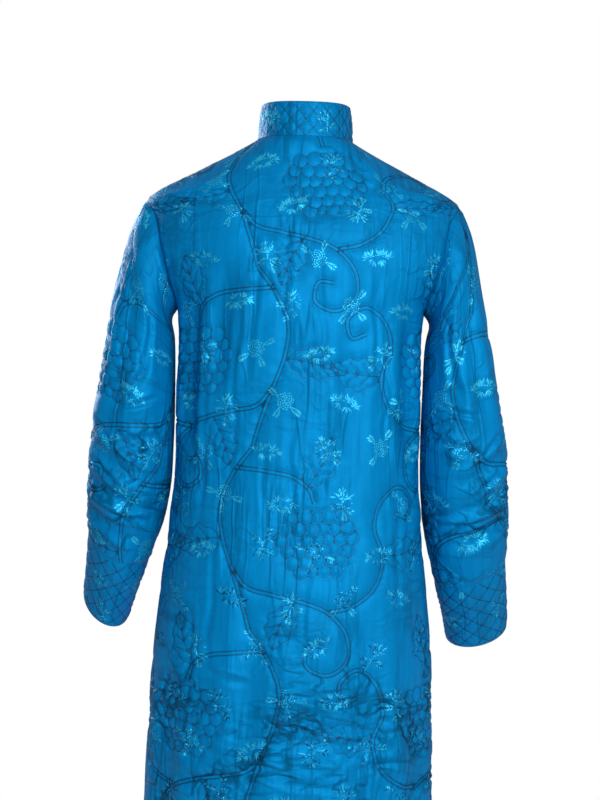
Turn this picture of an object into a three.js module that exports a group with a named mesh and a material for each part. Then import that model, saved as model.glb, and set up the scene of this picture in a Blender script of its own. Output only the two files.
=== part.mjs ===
// A long quilted satin coat with a stand collar, set-in sleeves, deep stitched cuffs and side pockets.
// Millimetres, +Z up. The front faces -Y, the back +Y, the wearer's left is +X.
// The origin is the middle of the neck opening, where the wearer's neck and shoulders carry the coat.
import * as THREE from "three";

// ---- driving sizes ----
const WALL = 2.4; // cloth and wadding, pressed at a stitch line
const SEAM_GAP = 0.3; // between two sewn pieces
const PUFF = 3.4; // how far the wadding swells between stitch lines
const BERRY_PUFF = 3.8; // a berry is stitched small, so it swells more
const DIAMOND_PUFF = 2.2; // cuffs and collar
const HEM_Z = -1140;
const TIP_Z = -80; // top of the armhole
const UNDERARM_Z = -228;
const ARMHOLE_HALF_DEPTH = 55; // front to back
const COLLAR_HEIGHT = 45;
const COLLAR_CORNER = 14; // rounded front corners
const UNDERLAP = 13; // left front past the centre, under the right
const OVERLAP = 12; // right front past the centre, over the left
const STEP_IN = WALL + 0.9; // how far the left front steps inward there
const PUFF_STEP = 33; // spacing of the swells in plain cloth
const STITCH_STEP = 18; // point spacing along a stitch line
const BERRY = 15.6; // berry width
const BERRY_ROWS = [5, 6, 7, 6, 5, 4];
const POCKET = { top: -520, bottom: -680, mouth: 8, lift: 4, depth: 132, bagTop: -503, bagBottom: -742 };
const FROG = { levels: [-72, -180, -290, -400, -510], cord: 1.7, bar: 46, knot: 4.6, seat: 16 };

// Body rings: height, half width, depth to the back, depth to the front, fullness of the oval.
const BODY = [
  [-1140, 201, 137, 147, 2.25], [-890, 191, 131, 143, 2.25], [-690, 184, 125, 137, 2.25],
  [-540, 169, 115, 127, 2.25], [-430, 163, 106, 118, 2.2], [-330, 163, 106, 126, 2.2],
  [-228, 166, 110, 127, 2.2], [-190, 190, 110, 122, 2.2], [-150, 209, 108, 113, 2.2],
  [-110, 212, 99, 100, 2.2], [-80, 206, 89, 88, 2.2], [-42, 138, 77, 76, 2.1], [0, 62, 65, 63, 2.05],
  [12, 58, 62, 60, 2.05],
];
// Sleeve rings, by side: outer point x and z, inner point x and z, middle y, half depth, lean of the arm in degrees.
const SLEEVE = {
  left: [
    [229, -128, 174, -244, 2, 60, 0], [247, -200, 176, -272, 4, 58, 0], [262, -290, 177, -325, 5, 56, 0],
    [274, -385, 177, -408, 2, 55, 4], [281, -462, 180, -486, -12, 53, 14], [284, -532, 199, -566, -38, 49, 27],
    [290, -580, 217, -613, -65, 47, 30], [297, -625, 233, -658, -92, 46, 31],
  ],
  right: [
    [226, -128, 174, -244, 2, 60, 0], [240, -200, 176, -272, 4, 58, 0], [258, -290, 177, -325, 5, 56, 0],
    [277, -390, 175, -408, 2, 55, 4], [286, -470, 179, -490, -12, 52, 14], [290, -555, 193, -588, -40, 45, 26],
    [297, -607, 207, -635, -66, 40, 29], [303, -656, 217, -676, -92, 37, 30],
  ],
};
const CUFF_RING = 6; // the cuff starts at this ring
const LAST_RING = 8;
const SLEEVE_R = 52; // turns an angle round the arm into millimetres of cloth
const ROUND = 22; // points round a sleeve

// Soft folds: piece, start and end in cloth millimetres, half width, depth (a trough is positive).
const FOLDS = [
  ["back", 150, -215, 156, -430, 15, 7], ["back", -150, -225, -158, -440, 15, 6], ["back", 96, -170, 112, -350, 14, 4],
  ["back", -62, -250, -72, -480, 15, 3], ["back", 44, -580, 62, -900, 19, 4], ["back", -92, -600, -112, -980, 20, 5],
  ["back", 168, -700, 178, -1060, 18, 4], ["back", -178, -730, -186, -1080, 18, 4],
  ["back", -84, -762, 58, -784, 11, 3], ["back", 30, -842, 168, -826, 11, 3],
  ["left", 120, -260, 128, -470, 15, 5], ["left", 70, -600, 84, -1000, 20, 5], ["left", 150, -800, 158, -1080, 18, 4],
  ["right", -118, -265, -130, -480, 15, 5], ["right", -72, -620, -90, -1010, 20, 5],
  ["right", -150, -790, -160, -1070, 18, 4],
  ["sleeve", 70, -60, 52, -250, 13, 5], ["sleeve", -70, -80, -48, -260, 13, 4], ["sleeve", 20, -262, 96, -300, 10, 4],
  ["sleeve", 8, -312, 100, -330, 10, 5], ["sleeve", -110, -290, -30, -318, 10, 4], ["sleeve", 24, -352, 110, -372, 10, 4],
];

// The quilted cloth repeats: each cell has one bunch of berries at its own 0,0, and every second cell is mirrored.
const CELL = { across: 169, down: 230 };
const VINES = [
  [[84, 115], [110, 80], [126, 40], [122, 0], [108, -40], [94, -80], [84, -115]],
  [[2, 46], [8, 62], [30, 78], [62, 84], [106, 88]],
  [[110, -36], [88, -62], [56, -70], [22, -78], [-14, -92], [-40, -118], [-42, -152], [-16, -170], [10, -158], [6, -134], [-12, -134]],
  [[-14, -92], [-48, -84], [-78, -60], [-88, -24], [-76, 12], [-86, 48], [-112, 66], [-136, 50], [-130, 26], [-112, 32]],
];
// Leaves: foot x and y, direction in degrees, length, half width.
const LEAVES = [[30, -82, -68, 62, 18], [-90, -22, 170, 68, 20], [126, -2, -15, 68, 19], [10, 66, 112, 68, 20]];
// Where the cloth's repeat lies on each piece.
const REPEAT = { back: [-28, -64], left: [40, -150], right: [-130, -150], sleeveLeft: [40, -160], sleeveRight: [-30, -210] };

const rand = (a, b) => {
  const v = Math.sin(a * 12.9898 + b * 78.233) * 43758.5453;
  return v - Math.floor(v);
};
const clamp = (v, lo, hi) => Math.min(hi, Math.max(lo, v));
const smooth = (v) => {
  const k = clamp(v, 0, 1);
  return k * k * (3 - 2 * k);
};
const span = (n) => Array.from({ length: n + 1 }, (_, i) => i / n);

// A smooth curve through the rows of a table, read at x.
function readTable(rows, x, col) {
  const down = rows[0][0] < rows[rows.length - 1][0] ? 1 : -1;
  let i = 0;
  while (i < rows.length - 2 && (rows[i + 1][0] - x) * down < 0) i++;
  const p = (j) => rows[clamp(j, 0, rows.length - 1)];
  const [a, b, c, d] = [p(i - 1), p(i), p(i + 1), p(i + 2)];
  const w = c[0] - b[0];
  const m0 = ((c[col] - a[col]) / (c[0] - a[0])) * w;
  const m1 = ((d[col] - b[col]) / (d[0] - b[0])) * w;
  const t = clamp((x - b[0]) / w, -0.2, 1.2);
  const t2 = t * t, t3 = t2 * t;
  return (2 * t3 - 3 * t2 + 1) * b[col] + (t3 - 2 * t2 + t) * m0 + (3 * t2 - 2 * t3) * c[col] + (t3 - t2) * m1;
}

// The half ring at a height, with cloth length from the centre line to each angle.
const rings = new Map();
function ringAt(side, z) {
  const key = side + ":" + z.toFixed(4);
  if (rings.has(key)) return rings.get(key);
  const w = readTable(BODY, z, 1), d = readTable(BODY, z, side > 0 ? 2 : 3), n = readTable(BODY, z, 4);
  const at = (a) => {
    const c = Math.abs(Math.cos(a)), s = Math.abs(Math.sin(a));
    const r = Math.pow(Math.pow(s / w, n) + Math.pow(c / d, n), -1 / n);
    return [r * Math.sin(a), r * Math.cos(a)];
  };
  const steps = 60, reach = Math.PI / 2;
  const len = [0];
  for (let i = 1; i <= steps + 4; i++) {
    const [x0, y0] = at(((i - 1) * reach) / steps), [x1, y1] = at((i * reach) / steps);
    len.push(len[i - 1] + Math.hypot(x1 - x0, y1 - y0));
  }
  const ring = { at, len, half: len[steps], angle: reach / steps };
  rings.set(key, ring);
  return ring;
}
const halfGirth = (side, z) => ringAt(side, z).half;
function skin(side, s, z) {
  const ring = ringAt(side, z), a = Math.abs(s);
  let i = 1;
  while (i < ring.len.length - 1 && ring.len[i] < a) i++;
  const t = (a - ring.len[i - 1]) / (ring.len[i] - ring.len[i - 1]);
  const [x, y] = ring.at((i - 1 + t) * ring.angle);
  return new THREE.Vector3(Math.sign(s) * x, side * y, z);
}
// Flat cloth runs up over the shoulder, where a little height is a long way along the cloth.
const SHOULDER_Z = -110;
const slopeAt = (s) => 1 + 0.9 * smooth((Math.abs(s) - 40) / 100);
const toFlat = (s, z) => (z > SHOULDER_Z ? SHOULDER_Z + (z - SHOULDER_Z) * slopeAt(s) : z);
const toHeight = (s, t) => (t > SHOULDER_Z ? SHOULDER_Z + (t - SHOULDER_Z) / slopeAt(s) : t);
function skinNormal(side, s, z) {
  const e = 0.7;
  const ds = skin(side, s + e, z).sub(skin(side, s - e, z));
  const dz = skin(side, s, z + e).sub(skin(side, s, z - e));
  return ds.cross(dz).multiplyScalar(-side).normalize();
}

// ---- neck, armhole ----
const neckZ = (side, share) => (side > 0 ? -4 * Math.pow(Math.cos((share * Math.PI) / 2), 2) : -38 * Math.pow(Math.cos((share * Math.PI) / 2), 1.7));
const NECK_STEPS = 10;
function neckFlat(side, share) {
  const z = neckZ(side, share);
  return [halfGirth(side, 0) * share * (share > 0.999 ? 1 : 1), z];
}
// The flat place on a side of the body where its surface is a given distance from the middle plane.
function flatAtDepth(side, depth, z) {
  let lo = 0, hi = halfGirth(side, z);
  for (let i = 0; i < 40; i++) {
    const mid = (lo + hi) / 2;
    if (side * skin(side, mid, z).y > depth) lo = mid;
    else hi = mid;
  }
  return (lo + hi) / 2;
}
const armholeMid = (TIP_Z + UNDERARM_Z) / 2, armholeHalf = (TIP_Z - UNDERARM_Z) / 2;
// Angle 0 is the tip of the shoulder, a quarter turn is the middle of the back, a half turn the underarm.
function armholePoint(angle) {
  const z = armholeMid + armholeHalf * Math.cos(angle);
  const y = ARMHOLE_HALF_DEPTH * Math.sin(angle);
  const side = y >= 0 ? 1 : -1;
  return skin(side, flatAtDepth(side, Math.abs(y), z), z);
}

// ---- sleeves ----
function sleeveRing(arm, k, angle) {
  if (k === 0) return armholePoint(angle);
  const [xo, zo, xi, zi, y, half, lean] = SLEEVE[arm][k - 1];
  const c = Math.cos(angle), s = Math.sin(angle), tilt = THREE.MathUtils.degToRad(lean);
  return new THREE.Vector3((xo + xi) / 2 + (c * (xo - xi)) / 2, y + s * half * Math.cos(tilt), (zo + zi) / 2 + (c * (zo - zi)) / 2 - s * half * Math.sin(tilt));
}
function sleeveSkin(arm, angle, v) {
  const i = clamp(Math.floor(v), 0, LAST_RING - 1), t = v - i;
  const r = (k) => sleeveRing(arm, clamp(k, 0, LAST_RING), angle);
  const b = r(i), c = r(i + 1);
  const a = i > 0 ? r(i - 1) : b.clone().multiplyScalar(2).sub(c), d = i < LAST_RING - 1 ? r(i + 2) : c.clone().multiplyScalar(2).sub(b);
  const t2 = t * t, t3 = t2 * t;
  return b.clone().multiplyScalar(2 * t3 - 3 * t2 + 1)
    .addScaledVector(c.clone().sub(a), 0.5 * (t3 - 2 * t2 + t))
    .addScaledVector(c, 3 * t2 - 2 * t3)
    .addScaledVector(d.clone().sub(b), 0.5 * (t3 - t2));
}
const sleeveRows = {};
for (const arm of ["left", "right"]) {
  const rows = [[0, 0]];
  const middle = (k) => sleeveRing(arm, k, 0).add(sleeveRing(arm, k, Math.PI)).multiplyScalar(0.5);
  for (let k = 1; k <= LAST_RING; k++) rows.push([rows[k - 1][0] - middle(k).distanceTo(middle(k - 1)), k]);
  sleeveRows[arm] = rows;
}
function ringIndex(arm, t) {
  const rows = sleeveRows[arm];
  let i = 0;
  while (i < rows.length - 2 && rows[i + 1][0] > t) i++;
  return i + (rows[i][0] - t) / (rows[i][0] - rows[i + 1][0]);
}
function sleeveAt(arm, s, t) {
  return sleeveSkin(arm, s / SLEEVE_R, ringIndex(arm, t));
}
function sleeveNormal(arm, s, t) {
  const e = 0.8, up = Math.min(t + e, 0);
  const ds = sleeveAt(arm, s + e, t).sub(sleeveAt(arm, s - e, t));
  const dt = sleeveAt(arm, s, up).sub(sleeveAt(arm, s, t - e));
  return ds.cross(dt).normalize();
}

// ---- folds ----
function foldAt(piece, s, t) {
  let sum = 0;
  for (const [name, s0, t0, s1, t1, half, depth] of FOLDS) {
    if (name !== piece) continue;
    const dx = s1 - s0, dy = t1 - t0, l2 = dx * dx + dy * dy;
    const k = ((s - s0) * dx + (t - t0) * dy) / l2, q = clamp(k, 0, 1);
    const off = Math.hypot(s - s0 - q * dx, t - t0 - q * dy) / half;
    const side = Math.exp(-off * off) - 0.45 * Math.exp(-Math.pow((off - 1.7) / 0.8, 2));
    sum += depth * side * smooth(q / 0.25 + 0.15) * smooth((1 - q) / 0.3 + 0.1);
  }
  return sum;
}

// ---- flat geometry ----
function inside(poly, x, y) {
  let hit = false;
  for (let i = 0, j = poly.length - 1; i < poly.length; j = i++) {
    const [xi, yi] = poly[i], [xj, yj] = poly[j];
    if (yi > y !== yj > y && x < ((xj - xi) * (y - yi)) / (yj - yi) + xi) hit = !hit;
  }
  return hit;
}
function edgeDistance(poly, x, y) {
  let best = 1e9;
  for (let i = 0, j = poly.length - 1; i < poly.length; j = i++) {
    const [ax, ay] = poly[j], dx = poly[i][0] - ax, dy = poly[i][1] - ay;
    const k = clamp(((x - ax) * dx + (y - ay) * dy) / (dx * dx + dy * dy || 1), 0, 1);
    best = Math.min(best, Math.hypot(x - ax - k * dx, y - ay - k * dy));
  }
  return best;
}
// Triangles of flat points, with no point inside any triangle's circle.
function delaunay(points) {
  const n = points.length, p = [...points, [-1e6, -1e6], [1e6, -1e6], [0, 1e6]];
  const make = (a, b, c) => {
    const [ax, ay] = p[a], bx = p[b][0] - ax, by = p[b][1] - ay, cx = p[c][0] - ax, cy = p[c][1] - ay;
    const d = 2 * (bx * cy - by * cx), b2 = bx * bx + by * by, c2 = cx * cx + cy * cy;
    const ux = (cy * b2 - by * c2) / d, uy = (bx * c2 - cx * b2) / d;
    return { v: [a, b, c], x: ax + ux, y: ay + uy, r: ux * ux + uy * uy };
  };
  let tris = [make(n, n + 1, n + 2)];
  for (let i = 0; i < n; i++) {
    const keep = [], open = new Map();
    for (const t of tris) {
      const dx = p[i][0] - t.x, dy = p[i][1] - t.y;
      if (dx * dx + dy * dy >= t.r) { keep.push(t); continue; }
      for (let e = 0; e < 3; e++) {
        const a = t.v[e], b = t.v[(e + 1) % 3], back = b + "," + a;
        if (open.has(back)) open.delete(back);
        else open.set(a + "," + b, [a, b]);
      }
    }
    for (const [a, b] of open.values()) keep.push(make(a, b, i));
    tris = keep;
  }
  return tris.map((t) => t.v).filter((v) => v.every((k) => k < n));
}
function curvePoints(controls, step) {
  const curve = new THREE.CatmullRomCurve3(controls.map(([x, y]) => new THREE.Vector3(x, y, 0)), false, "centripetal");
  const n = Math.max(2, Math.round(curve.getLength() / step));
  return curve.getSpacedPoints(n).map((q) => [q.x, q.y]);
}

// ---- solids ----
function meshOf(name, vertices, faces, colour) {
  let volume = 0;
  for (const [a, b, c] of faces) volume += vertices[a].dot(vertices[b].clone().cross(vertices[c])) / 6;
  const flat = [];
  for (const f of faces) for (const k of volume > 0 ? f : [f[0], f[2], f[1]]) flat.push(...vertices[k].toArray());
  const g = new THREE.BufferGeometry().setAttribute("position", new THREE.Float32BufferAttribute(flat, 3));
  g.computeVertexNormals();
  const mesh = new THREE.Mesh(g, new THREE.MeshStandardMaterial({ color: colour, roughness: 0.45, metalness: 0 }));
  mesh.name = name;
  return mesh;
}
// A wall of cloth: an edge line shared by a quilted outer face and a plain inner one.
// edge: flat points in order, with seam true where a tube closes on itself; outer: flat points with a height;
// inner: flat points; place(s, t, height, k) gives the point in space, k being the edge index or -1.
function wall(name, edge, outer, inner, place, colour, thick = WALL) {
  const nb = edge.length, flatEdge = edge.map((e) => [e[0], e[1]]);
  const vertices = [], ids = new Map();
  const add = (face, v) => {
    const key = face + v.toArray().map((c) => c.toFixed(3)).join();
    if (!ids.has(key)) { ids.set(key, vertices.length); vertices.push(v); }
    return ids.get(key);
  };
  const faces = [];
  const skinOf = (face, extra, height) => {
    const pts = [...flatEdge, ...extra.map((e) => [e[0], e[1]])];
    const id = pts.map(([s, t], i) => add(face, place(s, t, height(i), i < nb ? i : -1)));
    for (const [a, b, c] of delaunay(pts)) {
      const mx = (pts[a][0] + pts[b][0] + pts[c][0]) / 3, my = (pts[a][1] + pts[b][1] + pts[c][1]) / 3;
      if (!inside(flatEdge, mx, my)) continue;
      const area = (pts[b][0] - pts[a][0]) * (pts[c][1] - pts[a][1]) - (pts[b][1] - pts[a][1]) * (pts[c][0] - pts[a][0]);
      const f = area > 0 ? [id[a], id[b], id[c]] : [id[a], id[c], id[b]];
      faces.push(face === "o" ? f : [f[0], f[2], f[1]]);
    }
    return id;
  };
  const o = skinOf("o", outer, (i) => (i < nb ? 0 : outer[i - nb][2]));
  const n = skinOf("i", inner, () => -thick);
  for (let i = 0; i < nb; i++) {
    const j = (i + 1) % nb;
    if (edge[i].seam && edge[j].seam && Math.abs(edge[i][0] - edge[j][0]) < 1e-6) continue;
    faces.push([o[j], o[i], n[i]], [o[j], n[i], n[j]]);
  }
  return meshOf(name, vertices, faces, colour);
}

// ---- quilting ----
// Stitch points (height 0) and swells (height above the stitches) of the repeat that fall on a flat piece.
function quilt(poly, repeat, allow, heightCap) {
  const low = [], high = [];
  const xs = poly.map((q) => q[0]), ys = poly.map((q) => q[1]);
  const [x0, x1, y0, y1] = [Math.min(...xs), Math.max(...xs), Math.min(...ys), Math.max(...ys)];
  const far = (x, y, d) => low.every((q) => Math.hypot(q[0] - x, q[1] - y) > d) && high.every((q) => Math.hypot(q[0] - x, q[1] - y) > d);
  const cells = [];
  for (let m = Math.floor((repeat[1] - y1) / CELL.down) - 1; m <= (repeat[1] - y0) / CELL.down + 1; m++)
    for (let k = Math.floor((x0 - repeat[0]) / CELL.across) - 1; k <= (x1 - repeat[0]) / CELL.across + 1; k++)
      if ((m + k) % 2 === 0) cells.push({ x: repeat[0] + k * CELL.across, y: repeat[1] - m * CELL.down, flip: m % 2 ? -1 : 1, turn: 0.12 * (rand(k, m) - 0.5) });
  const put = (list, cell, u, w, h, gap, rim) => {
    const c = Math.cos(cell.turn), s = Math.sin(cell.turn);
    const x = cell.x + cell.flip * (u * c - w * s), y = cell.y + u * s + w * c;
    if (!inside(poly, x, y) || edgeDistance(poly, x, y) < rim || !allow(x, y) || !far(x, y, gap)) return;
    list.push([x, y, h]);
  };
  for (const cell of cells) {
    BERRY_ROWS.forEach((count, r) => {
      for (let b = 0; b < count; b++) {
        const u = (b - (count - 1) / 2) * BERRY, w = (2 - r) * BERRY * 0.866;
        put(high, cell, u, w, BERRY_PUFF, 6, 7);
        for (let a = 0; a < 6; a++) {
          const t = Math.PI / 6 + (a * Math.PI) / 3;
          put(low, cell, u + 0.577 * BERRY * Math.cos(t), w + 0.577 * BERRY * Math.sin(t), 0, 5, 7);
        }
      }
    });
  }
  for (const cell of cells)
    for (const [u, w, deg, length, half] of LEAVES) {
      const a = THREE.MathUtils.degToRad(deg), at = (l, b) => [u + l * Math.cos(a) - b * Math.sin(a), w + l * Math.sin(a) + b * Math.cos(a)];
      for (const k of [0.36, 0.68]) put(high, cell, ...at(k * length, 0), PUFF * 0.9, 10, 9);
      for (const [k, b] of [[0, 0], [0.1, 0.75], [0.34, 0.82], [0.5, 1], [0.74, 0.6], [1, 0]])
        for (const sign of b ? [-1, 1] : [1]) put(low, cell, ...at(k * length, sign * b * half), 0, 9, 9);
    }
  for (const cell of cells) for (const vine of VINES) for (const [u, w] of curvePoints(vine, STITCH_STEP)) put(low, cell, u, w, 0, 11, 9);
  const row = PUFF_STEP * 0.866;
  for (let j = 0, y = y0; y < y1; y += row, j++)
    for (let x = x0 + (j % 2) * PUFF_STEP * 0.5, i = 0; x < x1; x += PUFF_STEP, i++) {
      const qx = x + 5 * (rand(i, j) - 0.5), qy = y + 5 * (rand(j, i + 7) - 0.5);
      if (!inside(poly, qx, qy) || edgeDistance(poly, qx, qy) < 12 || !far(qx, qy, 12.5)) continue;
      const d = low.reduce((best, q) => Math.min(best, Math.hypot(q[0] - qx, q[1] - qy)), 60);
      const h = (PUFF + 0.9 * (rand(i + 3, j + 5) - 0.5)) * (1 - Math.exp(-d / 7)) * smooth((edgeDistance(poly, qx, qy) - 3) / 20);
      high.push([qx, qy, Math.min(h, heightCap(qx, qy))]);
    }
  return [...low, ...high.map(([x, y, h]) => [x, y, Math.min(h, heightCap(x, y))])];
}

const parts = new THREE.Group();
parts.name = "quilted_coat";
const BLUE = 0x0a78b4, TRIM = 0x0b6aa0, DARK = 0x101a3c;

// ---- back and fronts ----
const sideRows = [];
for (let z = UNDERARM_Z; z > HEM_Z + 1; z -= (UNDERARM_Z - HEM_Z) / 46) sideRows.push(z);
sideRows.push(HEM_Z);
const shoulderRows = span(8).map((k) => TIP_Z * k);
const armAngles = span(ROUND / 2).map((k) => k * Math.PI);
const mouthAt = (z) => {
  const k = (z - POCKET.bottom) / (POCKET.top - POCKET.bottom);
  return k > 0 && k < 1 ? Math.pow(Math.sin(k * Math.PI), 0.7) : 0;
};
// The armhole's shared slant at its outward corner, so that the two walls meet without crossing.
function armholeDirection(side, angle) {
  const z = armholeMid + armholeHalf * Math.cos(angle), y = Math.max(SEAM_GAP / 2, ARMHOLE_HALF_DEPTH * Math.sin(angle));
  const s = flatAtDepth(side, y, z);
  const body = skinNormal(side, s, z);
  const sleeve = sleeveNormal("left", side * angle * SLEEVE_R, -0.4);
  const across = new THREE.Vector3(200, 0, armholeMid).sub(armholePoint(side * angle));
  const towards = across.addScaledVector(body, -across.dot(body)).normalize();
  const bend = sleeve.dot(towards);
  return bend > 0 ? body.clone().add(sleeve).normalize() : null;
}
const armSlant = { 1: armAngles.map((a) => armholeDirection(1, a)), "-1": armAngles.map((a) => armholeDirection(-1, a)) };
const mirrored = (v, x) => (v ? new THREE.Vector3(x * v.x, v.y, v.z) : null);

// One side of a panel, from underarm or hem up to the neck: flat points with the wall's slant.
function panelSide(side, x, inset) {
  const out = [];
  for (const z of [...sideRows].reverse()) {
    const s = halfGirth(side, z) - SEAM_GAP / 2 - (inset ? inset * mouthAt(z) : 0);
    out.push([x * s, z]);
  }
  for (let k = armAngles.length - 2; k >= 1; k--) {
    const z = armholeMid + armholeHalf * Math.cos(armAngles[k]);
    const s = flatAtDepth(side, Math.max(SEAM_GAP / 2, ARMHOLE_HALF_DEPTH * Math.sin(armAngles[k])), z);
    const q = [x * s, toFlat(s, z)];
    q.slant = mirrored(armSlant[side][k], x);
    out.push(q);
  }
  for (const z of [...shoulderRows].reverse()) {
    const s = halfGirth(side, z) - SEAM_GAP / 2, q = [x * s, toFlat(s, z)];
    if (z === TIP_Z) q.slant = mirrored(armSlant[side][0], x);
    out.push(q);
  }
  return out;
}
const neckEdge = (side, from, to) => {
  const out = [];
  const steps = Math.round(Math.abs(to - from) * NECK_STEPS);
  for (let k = 1; k < steps; k++) {
    const share = from + ((to - from) * k) / steps;
    const [s, z] = neckFlat(side, Math.abs(share));
    out.push([Math.sign(share) * s, toFlat(s, z)]);
  }
  return out;
};
const innerGrid = (poly, side) => {
  const out = [];
  for (let t = 50; t > HEM_Z + 30; t -= t > -230 ? 36 : 58)
    for (const f of [-0.9, -0.77, -0.61, -0.43, -0.22, 0, 0.22, 0.43, 0.61, 0.77, 0.9]) {
      const s = f * halfGirth(side, t > SHOULDER_Z ? SHOULDER_Z + (t - SHOULDER_Z) / 1.6 : t) + (rand(t, f) - 0.5), q = t + 0.8 * (rand(f, t) - 0.5);
      if (inside(poly, s, q) && edgeDistance(poly, s, q) > 13) out.push([s, q]);
    }
  return out;
};
const seamFade = (side, s, z) => smooth((halfGirth(side, z) - Math.abs(s)) / 30);
function bodyPlace(side, piece, edge, extra) {
  return (s, t, h, k) => {
    const z = toHeight(s, t);
    const normal = (k >= 0 && edge[k].slant) || skinNormal(side, s, z);
    const fold = foldAt(piece, s, z) * seamFade(side, s, z);
    return skin(side, s, z).addScaledVector(normal, h - fold + (extra ? extra(s, z) : 0));
  };
}

const hemBack = span(24).slice(1, -1).map((k) => [(2 * k - 1) * (halfGirth(1, HEM_Z) - SEAM_GAP / 2), HEM_Z]);
const backEdge = [...hemBack, ...panelSide(1, 1, 0), ...neckEdge(1, 1, -1), ...panelSide(1, -1, 0).reverse()];
const backPoly = backEdge.map((q) => [q[0], q[1]]);
const nearArm = (s, z) => clamp((halfGirth(1, z) - Math.abs(s) - 14) * 0.16, 0, 9) + clamp((-z - 470) * 0.1, 0, 9);
parts.add(wall("back", backEdge, quilt(backPoly, REPEAT.back, () => true, nearArm), innerGrid(backPoly, 1), bodyPlace(1, "back", backEdge), BLUE));

// The pocket's front lip stands a little away from the body.
const lip = (x) => (s, z) => POCKET.lift * mouthAt(z) * smooth(1 - (halfGirth(-1, z) - x * s - POCKET.mouth) / 45);
const stepIn = (s) => -STEP_IN * smooth((25 - s) / 10);
// Little swell where a frog closure lies.
const frogBand = (s, z, reach) => clamp((Math.abs(s) - reach) * 0.14, 0.4, 9) + clamp((-z - 545) * 0.1, 0, 9);
{
  const x = 1, side = -1;
  const line = [];
  for (let z = HEM_Z; z < -40; z += (-40 - HEM_Z) / 55) line.push(z);
  const hem = span(13).slice(1, -1).map((k) => [-UNDERLAP + k * (halfGirth(side, HEM_Z) - SEAM_GAP / 2 + UNDERLAP), HEM_Z]);
  const top = neckFlat(side, 0)[1];
  const edge = [...hem, ...panelSide(side, x, POCKET.mouth), ...neckEdge(side, 1, 0), [0, top], [-UNDERLAP, top], ...line.slice(1).reverse().map((z) => [-UNDERLAP, z]), [-UNDERLAP, HEM_Z]];
  const poly = edge.map((q) => [q[0], q[1]]);
  const extra = (s, z) => stepIn(s) + lip(x)(s, z);
  const rows = line.filter((z) => z < -70);
  const placket = [...rows.map((z) => [14, z + 3, 0]), ...rows.map((z) => [25.5, z + 9, 0])];
  const points = quilt(poly, REPEAT.left, (s) => s > 44, (s, z) => Math.min(frogBand(s, z, 76), nearArm(s, z))).filter((q) => q[0] > 38);
  const inner = innerGrid(poly, side).filter((q) => q[0] > 38);
  parts.add(wall("front_left", edge, [...placket, ...points], [...placket.map((q) => [q[0], q[1]]), ...inner], bodyPlace(side, "left", edge, extra), BLUE));
}
{
  const x = -1, side = -1;
  const line = [];
  for (let z = HEM_Z; z < -40; z += (-40 - HEM_Z) / 55) line.push(z);
  const hem = span(13).slice(1, -1).map((k) => [-(halfGirth(side, HEM_Z) - SEAM_GAP / 2) + k * (halfGirth(side, HEM_Z) - SEAM_GAP / 2 + OVERLAP), HEM_Z]);
  const top = neckFlat(side, 0)[1];
  const edge = [...hem, [OVERLAP, HEM_Z], ...line.slice(1).map((z) => [OVERLAP, z]), [OVERLAP, top], [0, top], ...neckEdge(side, 0, -1), ...panelSide(side, x, POCKET.mouth).reverse()];
  const poly = edge.map((q) => [q[0], q[1]]);
  const points = quilt(poly, REPEAT.right, (s) => s < -44, (s, z) => Math.min(frogBand(s, z, 42), nearArm(s, z)));
  const inner = [...line.slice(1, -1).flatMap((z) => [[-1.5, z + 6], [-24, z + 2]]).filter((q) => q[1] < -60), ...innerGrid(poly, side).filter((q) => q[0] < -38)];
  parts.add(wall("front_right", edge, points, inner, bodyPlace(side, "right", edge, lip(x)), BLUE));
}

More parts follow.
